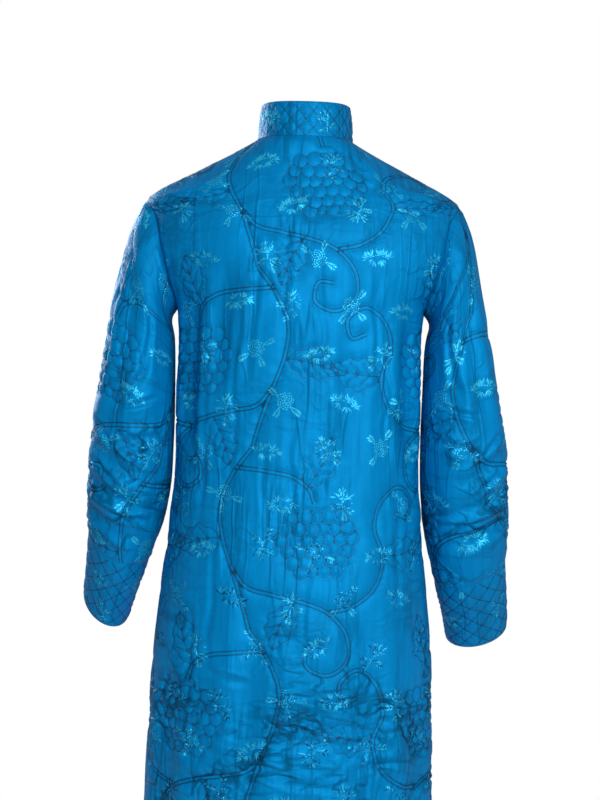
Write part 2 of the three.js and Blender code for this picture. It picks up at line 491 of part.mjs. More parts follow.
// ---- sleeves and cuffs ----
for (const [arm, x] of [["left", 1], ["right", -1]]) {
  const end = sleeveRows[arm][CUFF_RING][0], last = sleeveRows[arm][LAST_RING][0];
  const rim = (t, dir) => span(ROUND).map((k) => [dir * (2 * k - 1) * Math.PI * SLEEVE_R, t]);
  const rows = span(20).slice(1, -1).map((k) => -SEAM_GAP + k * (end + SEAM_GAP / 2 + SEAM_GAP));
  const seamed = (q) => Object.assign(q, { seam: true });
  const lower = rim(end + SEAM_GAP / 2, 1), upper = rim(-SEAM_GAP, -1);
  for (const q of [lower[0], lower[ROUND], upper[0], upper[ROUND]]) seamed(q);
  const right = [...rows].reverse().map((t) => seamed([Math.PI * SLEEVE_R, t])), left = rows.map((t) => seamed([-Math.PI * SLEEVE_R, t]));
  const edge = [...lower, ...right, ...upper, ...left];
  edge.forEach((q) => {
    if (q[1] !== -SEAM_GAP) return;
    const k = Math.round((Math.abs(q[0]) / (Math.PI * SLEEVE_R)) * (ROUND / 2));
    q.slant = armSlant[q[0] < 0 || k === ROUND / 2 ? -1 : 1][k];
  });
  const poly = edge.map((q) => [q[0], q[1]]);
  // The side that hangs against the body swells less.
  const cap = (s, t) => clamp((Math.PI * SLEEVE_R - Math.abs(s) - 42) * 0.16, 0.4, 9) + clamp((-t - 330) * 0.1, 0, 9);
  const place = (flat, t, h, k) => {
    const s = flat > Math.PI * SLEEVE_R - 1e-6 ? -flat : flat; // both edges of the underarm seam are one line
    const normal = (k >= 0 && edge[k].slant) || sleeveNormal(arm, s, t);
    const fade = smooth((Math.PI * SLEEVE_R - Math.abs(s)) / 30) * smooth(-t / 40) * smooth((t - end) / 25);
    const v = sleeveAt(arm, s, t).addScaledVector(normal, h - foldAt("sleeve", s, t) * fade);
    v.x *= x;
    return v;
  };
  const inner = [];
  for (let t = -30; t > end + 15; t -= 34)
    for (let k = 0; k < 12; k++) inner.push([((k + 0.5 + 0.03 * rand(k, t)) / 6 - 1) * Math.PI * SLEEVE_R, t + 0.6 * rand(t, k)]);
  parts.add(wall("sleeve_" + arm, edge, quilt(poly, arm === "left" ? REPEAT.sleeveLeft : REPEAT.sleeveRight, () => true, cap), inner, place, BLUE));

  // The cuff: stitch lines cross in diamonds, low where they cross and high between.
  const tiers = 9, vertices = [], faces = [];
  const top = end - SEAM_GAP / 2;
  const at = (i, t, h) => {
    const s = ((2 * (i % ROUND)) / ROUND - 1) * Math.PI * SLEEVE_R;
    const v = sleeveAt(arm, s, t).addScaledVector(sleeveNormal(arm, s, t), h);
    v.x *= x;
    return v;
  };
  for (let j = 0; j <= tiers; j++)
    for (let i = 0; i < ROUND; i++) {
      const high = (i + j) % 2 === 1 && j > 0 && j < tiers;
      vertices.push(at(i, top + ((last - top) * j) / tiers, high ? DIAMOND_PUFF : 0));
    }
  const innerTiers = [0, 1 / 3, 2 / 3, 1];
  for (const f of innerTiers) for (let i = 0; i < ROUND; i++) vertices.push(at(i, top + (last - top) * f, -WALL));
  const o = (i, j) => j * ROUND + (i % ROUND), n = (i, j) => (tiers + 1 + j) * ROUND + (i % ROUND);
  for (let i = 0; i < ROUND; i++) {
    for (let j = 0; j < tiers; j++) {
      const [a, b, c, d] = [o(i, j), o(i + 1, j), o(i + 1, j + 1), o(i, j + 1)];
      if ((i + j) % 2 === 0) faces.push([a, c, b], [a, d, c]);
      else faces.push([a, d, b], [b, d, c]);
    }
    for (let j = 0; j < innerTiers.length - 1; j++) faces.push([n(i, j), n(i + 1, j), n(i + 1, j + 1)], [n(i, j), n(i + 1, j + 1), n(i, j + 1)]);
    faces.push([o(i, 0), o(i + 1, 0), n(i + 1, 0)], [o(i, 0), n(i + 1, 0), n(i, 0)]);
    const e = innerTiers.length - 1;
    faces.push([o(i + 1, tiers), o(i, tiers), n(i, e)], [o(i + 1, tiers), n(i, e), n(i + 1, e)]);
  }
  parts.add(meshOf("cuff_" + arm, vertices, faces, TRIM));
}

// ---- collar ----
{
  // Columns run from one front end round the back to the other; a column is a place on the neck edge.
  const columns = [];
  for (let k = -2 * NECK_STEPS; k <= 2 * NECK_STEPS; k++) {
    const a = Math.abs(k) / NECK_STEPS, side = a <= 1 ? 1 : -1, share = a <= 1 ? a : 2 - a;
    const [s, z] = neckFlat(side, share);
    const foot = skin(side, s * (Math.sign(k) || 1), z);
    columns.push(foot);
  }
  const lean = 0.965;
  const count = columns.length;
  const endGap = 0.8;
  columns[0].x = -endGap;
  columns[count - 1].x = endGap;
  const crown = (foot) => new THREE.Vector3(foot.x * lean, foot.y * lean, foot.z + COLLAR_HEIGHT);
  crown.end = endGap;
  const heightAt = (i) => {
    const d = Math.min(i, count - 1 - i) * 11;
    return d >= COLLAR_CORNER ? 1 : 1 - (COLLAR_CORNER - Math.sqrt(COLLAR_CORNER ** 2 - (COLLAR_CORNER - d) ** 2)) / COLLAR_HEIGHT;
  };
  const point = (i, f) => {
    const foot = columns[i], top = crown(foot);
    if (i === 0 || i === count - 1) top.x = foot.x;
    const v = foot.clone().lerp(top, f * heightAt(i));
    v.z += SEAM_GAP * (1 - f);
    return v;
  };
  const normal = (i, f) => {
    const along = point(Math.min(i + 1, count - 1), f).sub(point(Math.max(i - 1, 0), f));
    const up = crown(columns[i]).sub(columns[i]);
    return along.cross(up).normalize();
  };
  const outward = normal(count >> 1, 0.5).y > 0 ? 1 : -1;
  const tiers = 4, vertices = [], faces = [];
  const at = (i, f, h) => {
    const n = normal(i, f).multiplyScalar(outward);
    if (i === 0 || i === count - 1) n.set(0, -1, 0);
    return point(i, f).addScaledVector(n, h);
  };
  for (let j = 0; j <= tiers; j++)
    for (let i = 0; i < count; i++) vertices.push(at(i, j / tiers, (i + j) % 2 && j > 0 && j < tiers && i > 0 && i < count - 1 ? DIAMOND_PUFF : 0));
  for (let j = 0; j <= 1; j++) for (let i = 0; i < count; i++) vertices.push(at(i, j, -WALL));
  const o = (i, j) => j * count + i, n = (i, j) => (tiers + 1 + j) * count + i;
  for (let i = 0; i < count - 1; i++) {
    for (let j = 0; j < tiers; j++) {
      const [a, b, c, d] = [o(i, j), o(i + 1, j), o(i + 1, j + 1), o(i, j + 1)];
      if ((i + j) % 2 === 0) faces.push([a, b, c], [a, c, d]);
      else faces.push([a, b, d], [b, c, d]);
    }
    faces.push([n(i, 0), n(i + 1, 1), n(i + 1, 0)], [n(i, 0), n(i, 1), n(i + 1, 1)]);
    faces.push([o(i, 0), n(i, 0), n(i + 1, 0)], [o(i, 0), n(i + 1, 0), o(i + 1, 0)]);
    faces.push([o(i, tiers), o(i + 1, tiers), n(i + 1, 1)], [o(i, tiers), n(i + 1, 1), n(i, 1)]);
  }
  for (const [i, turn] of [[0, true], [count - 1, false]]) {
    const rim = [];
    for (let j = 0; j <= tiers; j++) rim.push(o(i, j));
    rim.push(n(i, 1));
    const foot = n(i, 0);
    for (let k = 0; k < rim.length - 1; k++) faces.push(turn ? [foot, rim[k], rim[k + 1]] : [foot, rim[k + 1], rim[k]]);
  }
  parts.add(meshOf("collar", vertices, faces, TRIM));
}

// ---- pocket bags, pressed flat behind the fronts ----
for (const [arm, x] of [["left", 1], ["right", -1]]) {
  const side = -1;
  const edge = [];
  const { bagTop, bagBottom, depth } = POCKET;
  const back = -3;
  for (let z = bagBottom + 30; z <= bagTop; z += (bagTop - bagBottom - 30) / 10) edge.push([back, z]);
  for (const q of span(6).slice(1)) edge.push([back + q * (depth - back), bagTop - 12 * q]);
  for (const q of span(8).slice(1)) edge.push([depth, bagTop - 12 - q * (bagTop - 12 - bagBottom - 40)]);
  for (const a of [18, 36, 54, 72, 90]) edge.push([depth - 40 + 40 * Math.cos((a * Math.PI) / 180), bagBottom + 40 - 40 * Math.sin((a * Math.PI) / 180)]);
  for (const q of [0.25, 0.5, 0.75]) edge.push([(depth - 40) * (1 - q) + back * q, bagBottom + 30 * q * q]);
  edge.reverse();
  const poly = edge.map((q) => [q[0], q[1]]);
  const mid = [];
  for (let z = bagBottom + 24; z < bagTop - 14; z += 34)
    for (let q = 14; q < depth; q += 28) if (inside(poly, q, z) && edgeDistance(poly, q, z) > 11) mid.push([q + rand(q, z), z + rand(z, q), 0]);
  const place = (q, z, h) => {
    const on = q >= 0 ? side : 1;
    const s = x * (halfGirth(on, z) - Math.abs(q));
    const sunk = WALL + 0.9 + 2.6 * smooth((q - 4) / 22) + (q > 0 ? foldAt(arm, s, z) * seamFade(side, s, z) : 0);
    return skin(on, s, z).addScaledVector(skinNormal(on, s, z), h - sunk);
  };
  parts.add(wall("pocket_" + arm, edge, mid, mid.map((q) => [q[0], q[1]]), place, DARK, 1.8));
}

// ---- frog closures: a loop on the right front round a corded knot on the left front ----
function cordMesh(name, path, radius, sides, colour) {
  const vertices = [], faces = [], n = path.length;
  let up = new THREE.Vector3(0, -1, 0);
  path.forEach((p, i) => {
    const dir = path[Math.min(i + 1, n - 1)].clone().sub(path[Math.max(i - 1, 0)]).normalize();
    up = up.clone().addScaledVector(dir, -up.dot(dir)).normalize();
    const across = dir.clone().cross(up);
    for (let k = 0; k < sides; k++) {
      const a = (k * 2 * Math.PI) / sides;
      vertices.push(p.clone().addScaledVector(up, radius(i) * Math.cos(a)).addScaledVector(across, radius(i) * Math.sin(a)));
    }
  });
  for (let i = 0; i < n - 1; i++)
    for (let k = 0; k < sides; k++) {
      const a = i * sides + k, b = i * sides + ((k + 1) % sides);
      faces.push([a, b, b + sides], [a, b + sides, a + sides]);
    }
  for (const [base, flip] of [[0, true], [(n - 1) * sides, false]])
    for (let k = 1; k < sides - 1; k++) faces.push(flip ? [base, base + k + 1, base + k] : [base, base + k, base + k + 1]);
  return meshOf(name, vertices, faces, colour);
}
FROG.levels.forEach((z, number) => {
  const lay = (s, dz, h) => skin(-1, s, z + dz).addScaledVector(skinNormal(-1, s, z + dz), h + FROG.cord + 0.75);
  const gap = 2.4, seat = FROG.seat, far = seat - 6 - FROG.bar;
  const loop = [];
  for (const k of span(3)) loop.push(lay(far + k * (seat - 14 - far), gap, 0));
  for (const a of [125, 90, 50, 10, -30, -70, -110, -140]) {
    const c = Math.cos((a * Math.PI) / 180), q = Math.sin((a * Math.PI) / 180);
    loop.push(lay(seat + 6.4 * c, 6.4 * q, 0));
  }
  for (const k of span(3)) loop.push(lay(seat - 14 - k * (seat - 14 - far), -gap, 0));
  parts.add(cordMesh("frog_" + (number + 1) + "_loop", loop, () => FROG.cord, 5, TRIM));

  const knot = [], size = [];
  for (const [u, r] of [[-4.4, 1.2], [-3.2, 3.3], [0, FROG.knot], [3.2, 3.3], [4.6, 1.7], [9.6, 1.7]]) {
    knot.push(lay(seat + u, 0, 4.3));
    size.push(r);
  }
  const end = seat + 16 + FROG.bar - 10;
  knot.push(lay(seat + 13.5, 0.8, 1.6));
  for (const k of span(3)) knot.push(lay(seat + 17 + k * (end - seat - 17), gap, 0));
  knot.push(lay(end + 2.6, 0, 0));
  for (const k of span(3)) knot.push(lay(end - k * (end - seat - 20), -gap, 0));
  while (size.length < knot.length) size.push(FROG.cord);
  parts.add(cordMesh("frog_" + (number + 1) + "_knot", knot, (i) => size[i], 5, TRIM));
});

export default parts;
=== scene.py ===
"""A long quilted satin coat with a stand collar, diamond stitched cuffs, side pockets and frog closures.

The cloth is worked out flat, in millimetres, and laid on the coat's form: s runs across a piece from its
centre line, towards the wearer's left, and t runs up it. The coat's front faces -Y.
"""

import math

import bpy
import numpy as np
from bpy.props import FloatProperty, FloatVectorProperty, PointerProperty
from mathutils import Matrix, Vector, geometry
from mathutils.kdtree import KDTree


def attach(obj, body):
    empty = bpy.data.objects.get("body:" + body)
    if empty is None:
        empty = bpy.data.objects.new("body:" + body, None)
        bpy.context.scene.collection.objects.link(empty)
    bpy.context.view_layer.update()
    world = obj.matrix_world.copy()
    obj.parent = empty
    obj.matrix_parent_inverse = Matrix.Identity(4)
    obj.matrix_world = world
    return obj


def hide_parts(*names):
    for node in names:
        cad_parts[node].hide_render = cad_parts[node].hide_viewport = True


bl_info = {
    "name": "Quilted satin coat",
    "version": (1, 0, 0),
    "blender": (4, 5, 0),
    "location": "View3D > Sidebar > Coat",
    "description": "Makes the cloth, stitching and closures of a quilted satin coat on its solid frame",
    "category": "Add Mesh",
}

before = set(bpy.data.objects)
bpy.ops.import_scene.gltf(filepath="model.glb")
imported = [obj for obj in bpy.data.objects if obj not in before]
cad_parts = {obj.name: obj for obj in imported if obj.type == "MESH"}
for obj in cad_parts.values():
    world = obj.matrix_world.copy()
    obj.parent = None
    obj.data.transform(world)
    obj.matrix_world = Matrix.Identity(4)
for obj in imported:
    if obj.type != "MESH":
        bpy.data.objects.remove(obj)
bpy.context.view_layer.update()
MM = 0.001

# ---- driving sizes, in millimetres, as in the coat's solids unless a comment says otherwise ----
WALL = 2.4
SEAM_GAP = 0.3
HEM_Z = -1140.0
TIP_Z = -80.0
UNDERARM_Z = -228.0
ARMHOLE_HALF_DEPTH = 55.0
COLLAR_HEIGHT = 45.0
COLLAR_CORNER = 14.0
COLLAR_LEAN = 0.965
NECK_BACK_DIP, NECK_FRONT_DIP, NECK_FRONT_CURVE = 4, 38, 1.7
UNDERLAP = 13.0
OVERLAP = 12.0
STEP_IN = WALL + 0.9
STEP_END, STEP_WIDE = 25, 10  # where the left front has stepped back out, and over what width
BERRY = 15.6
BERRY_ROWS = (5, 6, 7, 6, 5, 4)
BERRY_ROW_SHARE = 0.866  # the height of a row of berries, as a share of their spacing
POCKET_TOP, POCKET_BOTTOM = -520.0, -680.0
POCKET_MOUTH, POCKET_LIFT, POCKET_DEPTH = 8.0, 4.0, 132.0
LIP_WIDE = 45  # how far the raised lip of a pocket reaches
BAG_TOP, BAG_BOTTOM, BAG_WALL = -503.0, -742.0, 1.8
# A bag's lap past the side seam, its lower corner's radius, and the slants of its lower and upper edges.
BAG_LAP, BAG_CORNER, BAG_RISE, BAG_FALL = -3.0, 40.0, 30, 12
BAG_SUNK = 2.6  # how much deeper it lies behind its front than at the seam
FROG_LEVELS = (-72.0, -180.0, -290.0, -400.0, -510.0)
FROG_CORD, FROG_BAR, FROG_KNOT, FROG_SEAT = 1.7, 46.0, 4.6, 16.0
FROG_REACH = {"left": 76, "right": 42}  # how far from the centre the closures lie on each front
QUILTED_FROM = 44  # the fronts' quilting starts this far from the centre
SLEEVE_R = 52.0
SLEEVE_REACH = math.pi * SLEEVE_R  # from the top line of a sleeve to its seam
CUFF_RING, LAST_RING = 6, 8
CUFF_COLUMNS, CUFF_TIERS = 22, 9
COLLAR_STEPS, COLLAR_TIERS, COLLAR_PITCH = 10, 4, 11.0
COLLAR_END = 0.8  # from a front end of the collar to the middle
SHOULDER_Z = -110.0

# Body rings: height, half width, depth to the back, depth to the front, fullness of the oval.
BODY = (
    (-1140, 201, 137, 147, 2.25), (-890, 191, 131, 143, 2.25), (-690, 184, 125, 137, 2.25),
    (-540, 169, 115, 127, 2.25), (-430, 163, 106, 118, 2.2), (-330, 163, 106, 126, 2.2),
    (-228, 166, 110, 127, 2.2), (-190, 190, 110, 122, 2.2), (-150, 209, 108, 113, 2.2),
    (-110, 212, 99, 100, 2.2), (-80, 206, 89, 88, 2.2), (-42, 138, 77, 76, 2.1),
    (0, 62, 65, 63, 2.05), (12, 58, 62, 60, 2.05),
)
# Sleeve rings: outer point x and z, inner point x and z, middle y, half depth, lean of the arm in degrees.
# The padded sleeves' inner points lie a few millimetres nearer to the body than those of the solids.
SLEEVE = {
    "left": (
        (229, -128, 174, -244, 2, 60, 0), (247, -200, 169, -272, 4, 58, 0),
        (262, -290, 167, -325, 5, 56, 0), (274, -385, 167, -408, 2, 55, 4),
        (281, -462, 173, -486, -12, 53, 14), (284, -532, 199, -566, -38, 49, 27),
        (290, -580, 217, -613, -65, 47, 30), (297, -625, 233, -658, -92, 46, 31),
    ),
    "right": (
        (226, -128, 174, -244, 2, 60, 0), (240, -200, 169, -272, 4, 58, 0),
        (258, -290, 167, -325, 5, 56, 0), (277, -390, 166, -408, 2, 55, 4),
        (286, -470, 171, -490, -12, 52, 14), (290, -555, 193, -588, -40, 45, 26),
        (297, -607, 207, -635, -66, 40, 29), (303, -656, 217, -676, -92, 37, 30),
    ),
}
# Soft folds by piece: start and end in cloth millimetres, half width, depth (a trough is positive).
FOLDS = {
    "back": (
        (150, -215, 156, -430, 15, 7), (-150, -225, -158, -440, 15, 6), (96, -170, 112, -350, 14, 4),
        (-62, -250, -72, -480, 15, 3), (44, -580, 62, -900, 19, 4), (-92, -600, -112, -980, 20, 5),
        (168, -700, 178, -1060, 18, 4), (-178, -730, -186, -1080, 18, 4),
        (-84, -762, 58, -784, 11, 3), (30, -842, 168, -826, 11, 3),
    ),
    "left": ((120, -260, 128, -470, 15, 5), (70, -600, 84, -1000, 20, 5), (150, -800, 158, -1080, 18, 4)),
    "right": (
        (-118, -265, -130, -480, 15, 5), (-72, -620, -90, -1010, 20, 5), (-150, -790, -160, -1070, 18, 4),
    ),
    "sleeve": (
        (70, -60, 52, -250, 13, 5), (-70, -80, -48, -260, 13, 4), (20, -262, 96, -300, 10, 4),
        (8, -312, 100, -330, 10, 5), (-110, -290, -30, -318, 10, 4), (24, -352, 110, -372, 10, 4),
    ),
}
# Finer creases, in the same columns, for the cloth alone.
CREASES = {
    "back": (
        (18, -96, 24, -300, 5, 1.2), (-20, -150, -30, -330, 4, 1.1), (58, -130, 66, -330, 5, 1.6),
        (78, -210, 88, -430, 4, 1.5), (-98, -170, -104, -330, 5, 1.8), (-116, -260, -122, -440, 4, 1.5),
        (122, -300, 130, -520, 5, 2.0), (-40, -330, -34, -500, 4, 1.2), (12, -360, 4, -540, 5, 1.3),
        (40, -400, 46, -560, 4, 1.2), (-132, -430, -144, -640, 5, 1.8), (104, -520, 112, -700, 5, 1.6),
        (-14, -560, -20, -700, 4, 1.1), (-60, -540, -64, -690, 5, 1.3), (138, -600, 146, -820, 6, 2.0),
        (20, -640, 26, -740, 4, 1.0), (-40, -716, 40, -730, 4, 1.6), (52, -704, 120, -690, 4, 1.8),
        (-120, -748, -52, -738, 5, 2.2), (-150, -800, -70, -816, 6, 2.4), (-60, -834, 20, -820, 5, 2.0),
        (64, -776, 132, -762, 5, 2.2), (70, -870, 150, -880, 6, 2.0), (-130, -880, -30, -866, 6, 2.2),
        (-20, -900, 70, -916, 6, 2.0), (-150, -950, -40, -944, 6, 2.0), (40, -980, 150, -968, 6, 2.2),
        (-90, -1020, 30, -1034, 6, 1.8), (30, -1070, 140, -1060, 6, 1.8),
    ),
    "left": (
        (60, -200, 70, -420, 5, 1.4), (98, -330, 104, -540, 5, 1.6), (52, -500, 60, -700, 5, 1.2),
        (60, -760, 150, -776, 6, 2.0), (50, -840, 130, -828, 6, 2.0), (80, -930, 170, -944, 6, 2.0),
    ),
    "right": (
        (-60, -210, -66, -410, 5, 1.4), (-96, -320, -104, -560, 5, 1.6), (-56, -520, -60, -690, 5, 1.2),
        (-140, -750, -56, -764, 6, 2.0), (-150, -850, -60, -838, 6, 2.0), (-160, -960, -70, -946, 6, 2.0),
    ),
    "sleeve": (
        (30, -60, 34, -200, 5, 1.6), (-20, -70, -22, -190, 5, 1.4), (100, -70, 88, -200, 5, 2.4),
        (-104, -90, -96, -210, 5, 1.4), (30, -284, 84, -314, 4, 3.4), (60, -338, 120, -356, 4, 3.2),
        (-70, -250, 0, -276, 5, 2.8), (-90, -330, -20, -350, 5, 3.0), (-30, -372, 60, -384, 4, 2.4),
        (62, -216, 118, -196, 4, 3.0), (70, -252, 128, -240, 5, 3.2), (20, -236, 66, -262, 4, 2.8),
    ),
}
# The quilted repeat: a bunch of berries at 0,0. Cells take every second place, and every second row is
# mirrored.
CELL_ACROSS, CELL_DOWN = 169.0, 230.0
CELL_TURN = 0.12  # the widest difference between two cells' turns, in radians
TURNED_WHOLE, TURN_FADE = 40, 80  # a cell turns whole to this distance from its middle, then ever less
VINES = (
    ((84, 115), (110, 80), (126, 40), (122, 0), (108, -40), (94, -80), (84, -115)),
    ((2, 46), (8, 62), (30, 78), (62, 84), (106, 88)),
    ((110, -36), (88, -62), (56, -70), (22, -78), (-14, -92), (-40, -118), (-42, -152), (-16, -170),
     (10, -158), (6, -134), (-12, -134)),
    ((-14, -92), (-48, -84), (-78, -60), (-88, -24), (-76, 12), (-86, 48), (-112, 66), (-136, 50),
     (-130, 26), (-112, 32)),
)
# Leaves: foot x and y, direction in degrees, length, half width.
LEAVES = ((30, -82, -68, 62, 18), (-90, -22, 170, 68, 20), (126, -2, -15, 68, 19), (10, 66, 112, 68, 20))
REPEAT = {
    "back": (-28, -64), "front_left": (40, -150), "front_right": (-130, -150),
    "sleeve_left": (40, -160), "sleeve_right": (-30, -210),
    "cuff_left": (12, -30), "cuff_right": (-24, -12), "collar": (-22, -2),
}
VINE_HALF = 2.4  # half the way between a vine's two stitch lines
STITCH = 3.0  # stitch length
THREAD_HALF, THREAD_HIGH = 0.33, 0.42
LIFT = 0.24  # how far threads and sprigs stand over the cloth they lie on
SPRIG_STEP, SPRIG_SIZE = 76.0, 1.12  # from one woven sprig to the next, and their scale
SPRIG_ROW_SHARE = 0.82  # from one row of sprigs to the next, as a share of their step
STROKE_WIDEN = 1.35
RIM = 0.8  # how far a turned edge rounds outward
SWELL_REACH, DIAMOND_REACH, BERRY_REACH = 5.5, 3.0, 1.6  # how soon the wadding rises beside a stitch
SWELL_UNEVEN = 0.14
# Small creases: their width along a line, their reach away from it, and their share on berries.
PUCKER_WIDE, PUCKER_REACH, BERRY_PUCKER = 6.0, 11, 0.3
# Soft dents: height, size across and along, seed.
DENTS = ((0.25, 12, 80, 11), (0.3, 30, 34, 5))
EDGE_FLAT, DEEPEST = 9, -0.6  # the cloth lies flat at its edge, and may dip this far elsewhere
FINE_FAINT, DIAMOND_FAINT = 0.55, 0.5  # the painted shade beside fine lines and diamonds is as dark as a bold line's this far off
FAR = 9.0  # more than any swell, and past the shade of every stitch line
FOLD_FADE = 30  # folds fade out this near to a seam
OUTER_GRID = {"back": 2.85, "front": 3.0, "sleeve": 2.6, "cuff": 2.2, "collar": 2.0}
INNER_GRID, BAG_GRID = 12.0, 5.0
GRID_JITTER, GRID_CLEAR = 0.16, 0.62  # unevenness, and clearance from the lines, as shares of the spacing
LINE_CLEAR, LINE_GAP = 1.6, 1.5  # points on the lines keep this far from the edge and from each other
TUBE_COLUMNS = 133
CORD_SIDES = 12


# ---- numbers ----
def smooth(value):
    """Eases from 0 to 1 as the value does."""
    k = np.clip(value, 0.0, 1.0)
    return k * k * (3 - 2 * k)


def rand(a, b):
    """A repeatable number from 0 to 1 for each pair of numbers."""
    v = np.sin(np.asarray(a, float) * 12.9898 + np.asarray(b, float) * 78.233) * 43758.5453
    return v - np.floor(v)


def wander(x, y, seed):
    """Smooth noise from -1 to 1, one lump to each unit."""
    i, j = np.floor(x), np.floor(y)
    u, v = smooth(x - i), smooth(y - j)
    low = rand(i + seed, j) * (1 - u) + rand(i + 1 + seed, j) * u
    high = rand(i + seed, j + 1) * (1 - u) + rand(i + 1 + seed, j + 1) * u
    return 2 * (low * (1 - v) + high * v) - 1


def side_of(s):
    """1 on the wearer's left, -1 on the right."""
    return np.where(s < 0, -1, 1)


def points_at(x, y):
    """Rows of x and y; either may be one number."""
    return np.stack(np.broadcast_arrays(x, y), 1)


def triangles(a, b, c):
    """Rows of three corners."""
    return np.stack([a, b, c], 1)


def unit(vectors):
    """Vectors brought to a length of 1."""
    return vectors / np.maximum(np.linalg.norm(vectors, axis=-1, keepdims=True), 1e-12)


def blend(k, b, c, start, end):
    """A smooth curve from b to c, with its slopes at both ends."""
    k2, k3 = k * k, k * k * k
    return b * (2 * k3 - 3 * k2 + 1) + start * (k3 - 2 * k2 + k) + c * (3 * k2 - 2 * k3) + end * (k3 - k2)


def read_table(rows, x):
    """A smooth curve through a table's columns, read at each x."""
    rows = np.array(rows, float)
    last = len(rows) - 1
    i = np.clip(np.searchsorted(rows[:, 0], x) - 1, 0, last - 1)
    a, b, c, d = rows[np.maximum(i - 1, 0)], rows[i], rows[i + 1], rows[np.minimum(i + 2, last)]
    width = c[:, :1] - b[:, :1]
    m0 = (c - a) / (c[:, :1] - a[:, :1]) * width
    m1 = (d - b) / (d[:, :1] - b[:, :1]) * width
    k = np.clip((x[:, None] - b[:, :1]) / width, -0.2, 1.2)
    return blend(k, b, c, m0, m1)[:, 1:].T


def resample(points, step):
    """Evenly spaced points along a line, its ends kept, and the length to each."""
    points = np.asarray(points, float)
    length = np.concatenate([[0], np.cumsum(np.linalg.norm(np.diff(points, axis=0), axis=1))])
    along = np.linspace(0, length[-1], max(2, round(length[-1] / step) + 1))
    return np.stack([np.interp(along, length, points[:, k]) for k in range(points.shape[1])], 1), along


def curve_through(controls):
    """A centripetal curve through given points."""
    p = np.array(controls, float)
    p = np.vstack([2 * p[0] - p[1], p, 2 * p[-1] - p[-2]])
    out = []
    for i in range(len(p) - 3):
        a, b, c, d = p[i:i + 4]
        t0, t1 = 0.0, np.linalg.norm(b - a) ** 0.5
        t2 = t1 + np.linalg.norm(c - b) ** 0.5
        t3 = t2 + np.linalg.norm(d - c) ** 0.5
        t = np.linspace(t1, t2, 24, endpoint=False)[:, None]
        a1 = (t1 - t) / (t1 - t0) * a + (t - t0) / (t1 - t0) * b
        a2 = (t2 - t) / (t2 - t1) * b + (t - t1) / (t2 - t1) * c
        a3 = (t3 - t) / (t3 - t2) * c + (t - t2) / (t3 - t2) * d
        b1 = (t2 - t) / (t2 - t0) * a1 + (t - t0) / (t2 - t0) * a2
        b2 = (t3 - t) / (t3 - t1) * a2 + (t - t1) / (t3 - t1) * a3
        out.append((t2 - t) / (t2 - t1) * b1 + (t - t1) / (t2 - t1) * b2)
    return np.vstack([*out, p[-2:-1]])


def inside(polygon, points):
    """Which points lie inside a closed outline."""
    x, y = points[:, 0], points[:, 1]
    hit = np.zeros(len(points), bool)
    for (xi, yi), (xj, yj) in zip(polygon, np.roll(polygon, 1, axis=0)):
        if yi == yj:
            continue
        band = (yi > y) != (yj > y)
        hit ^= band & (x < (xj - xi) * (y - yi) / (yj - yi) + xi)
    return hit


def tree_of(points):
    tree = KDTree(len(points))
    for i, (x, y) in enumerate(points.tolist()):
        tree.insert((x, y, 0.0), i)
    tree.balance()
    return tree


def nearest(tree, points):
    """Distance and number of the nearest point of a tree."""
    found = [tree.find((x, y, 0.0)) for x, y in points.tolist()]
    return np.array([f[2] for f in found]), np.array([f[1] for f in found])


# ---- the body's form ----
# It is tabled on level rows, at even shares of the half girth, from the middle to just past the side seam.
RING_STEP = 2.0
RING_Z = np.arange(HEM_Z - 8, 16 + RING_STEP, RING_STEP)
SHARES = np.linspace(0, 1.06, 213)


def body_half(side):
    """One half of the body's form, a little past its side seam.

    It holds the half girth of each row, and points and outward normals by height and share of that girth.
    """
    width, back, front, full = (v[:, None] for v in read_table(BODY, RING_Z))
    depth = back if side > 0 else front
    angle = np.linspace(0, math.pi / 2 * 1.08, 260)[None, :]
    sine, cosine = np.sin(angle), np.cos(angle)
    reach = ((np.abs(sine) / width) ** full + (np.abs(cosine) / depth) ** full) ** (-1 / full)
    x, y = reach * sine, reach * cosine
    step = np.hypot(np.diff(x, axis=1), np.diff(y, axis=1))
    length = np.concatenate([np.zeros((len(RING_Z), 1)), np.cumsum(step, axis=1)], axis=1)
    half = np.array([np.interp(math.pi / 2, angle[0], row) for row in length])
    at = SHARES[None, :] * half[:, None]
    xs = np.array([np.interp(a, row, v) for a, row, v in zip(at, length, x)])
    ys = np.array([np.interp(a, row, v) for a, row, v in zip(at, length, y)])
    points = np.stack([xs, side * ys, np.broadcast_to(RING_Z[:, None], xs.shape)], axis=2)
    normals = unit(np.cross(np.gradient(points, axis=1), np.gradient(points, axis=0)))
    outward = np.sign((normals[..., 1] * side).sum())
    return half, points, normals * outward


BODY_FORM = {side: body_half(side) for side in (1, -1)}


def half_girth(side, z):
    return np.interp(z, RING_Z, BODY_FORM[side][0])


def on_body(side, s, z, layer):
    """Reads the body's form at cloth places; layer 1 is its points, 2 its normals."""
    half, table = BODY_FORM[side][0], BODY_FORM[side][layer]
    s, z = np.asarray(s, float), np.asarray(z, float)
    row = np.clip((z - RING_Z[0]) / RING_STEP, 0, len(RING_Z) - 1.001)
    col = np.clip(np.abs(s) / np.interp(z, RING_Z, half) / (SHARES[1] - SHARES[0]), 0, len(SHARES) - 1.001)
    i, j = row.astype(int), col.astype(int)
    u, v = (row - i)[..., None], (col - j)[..., None]
    low = table[i, j] * (1 - v) + table[i, j + 1] * v
    high = table[i + 1, j] * (1 - v) + table[i + 1, j + 1] * v
    out = low * (1 - u) + high * u
    out[..., 0] *= side_of(s)
    return out


def skin(side, s, z):
    return on_body(side, s, z, 1)


def skin_normal(side, s, z):
    return unit(on_body(side, s, z, 2))


def slope_at(s):
    """How much longer the cloth is than it is high where it slopes over the shoulder."""
    return 1 + 0.9 * smooth((np.abs(s) - 40) / 100)


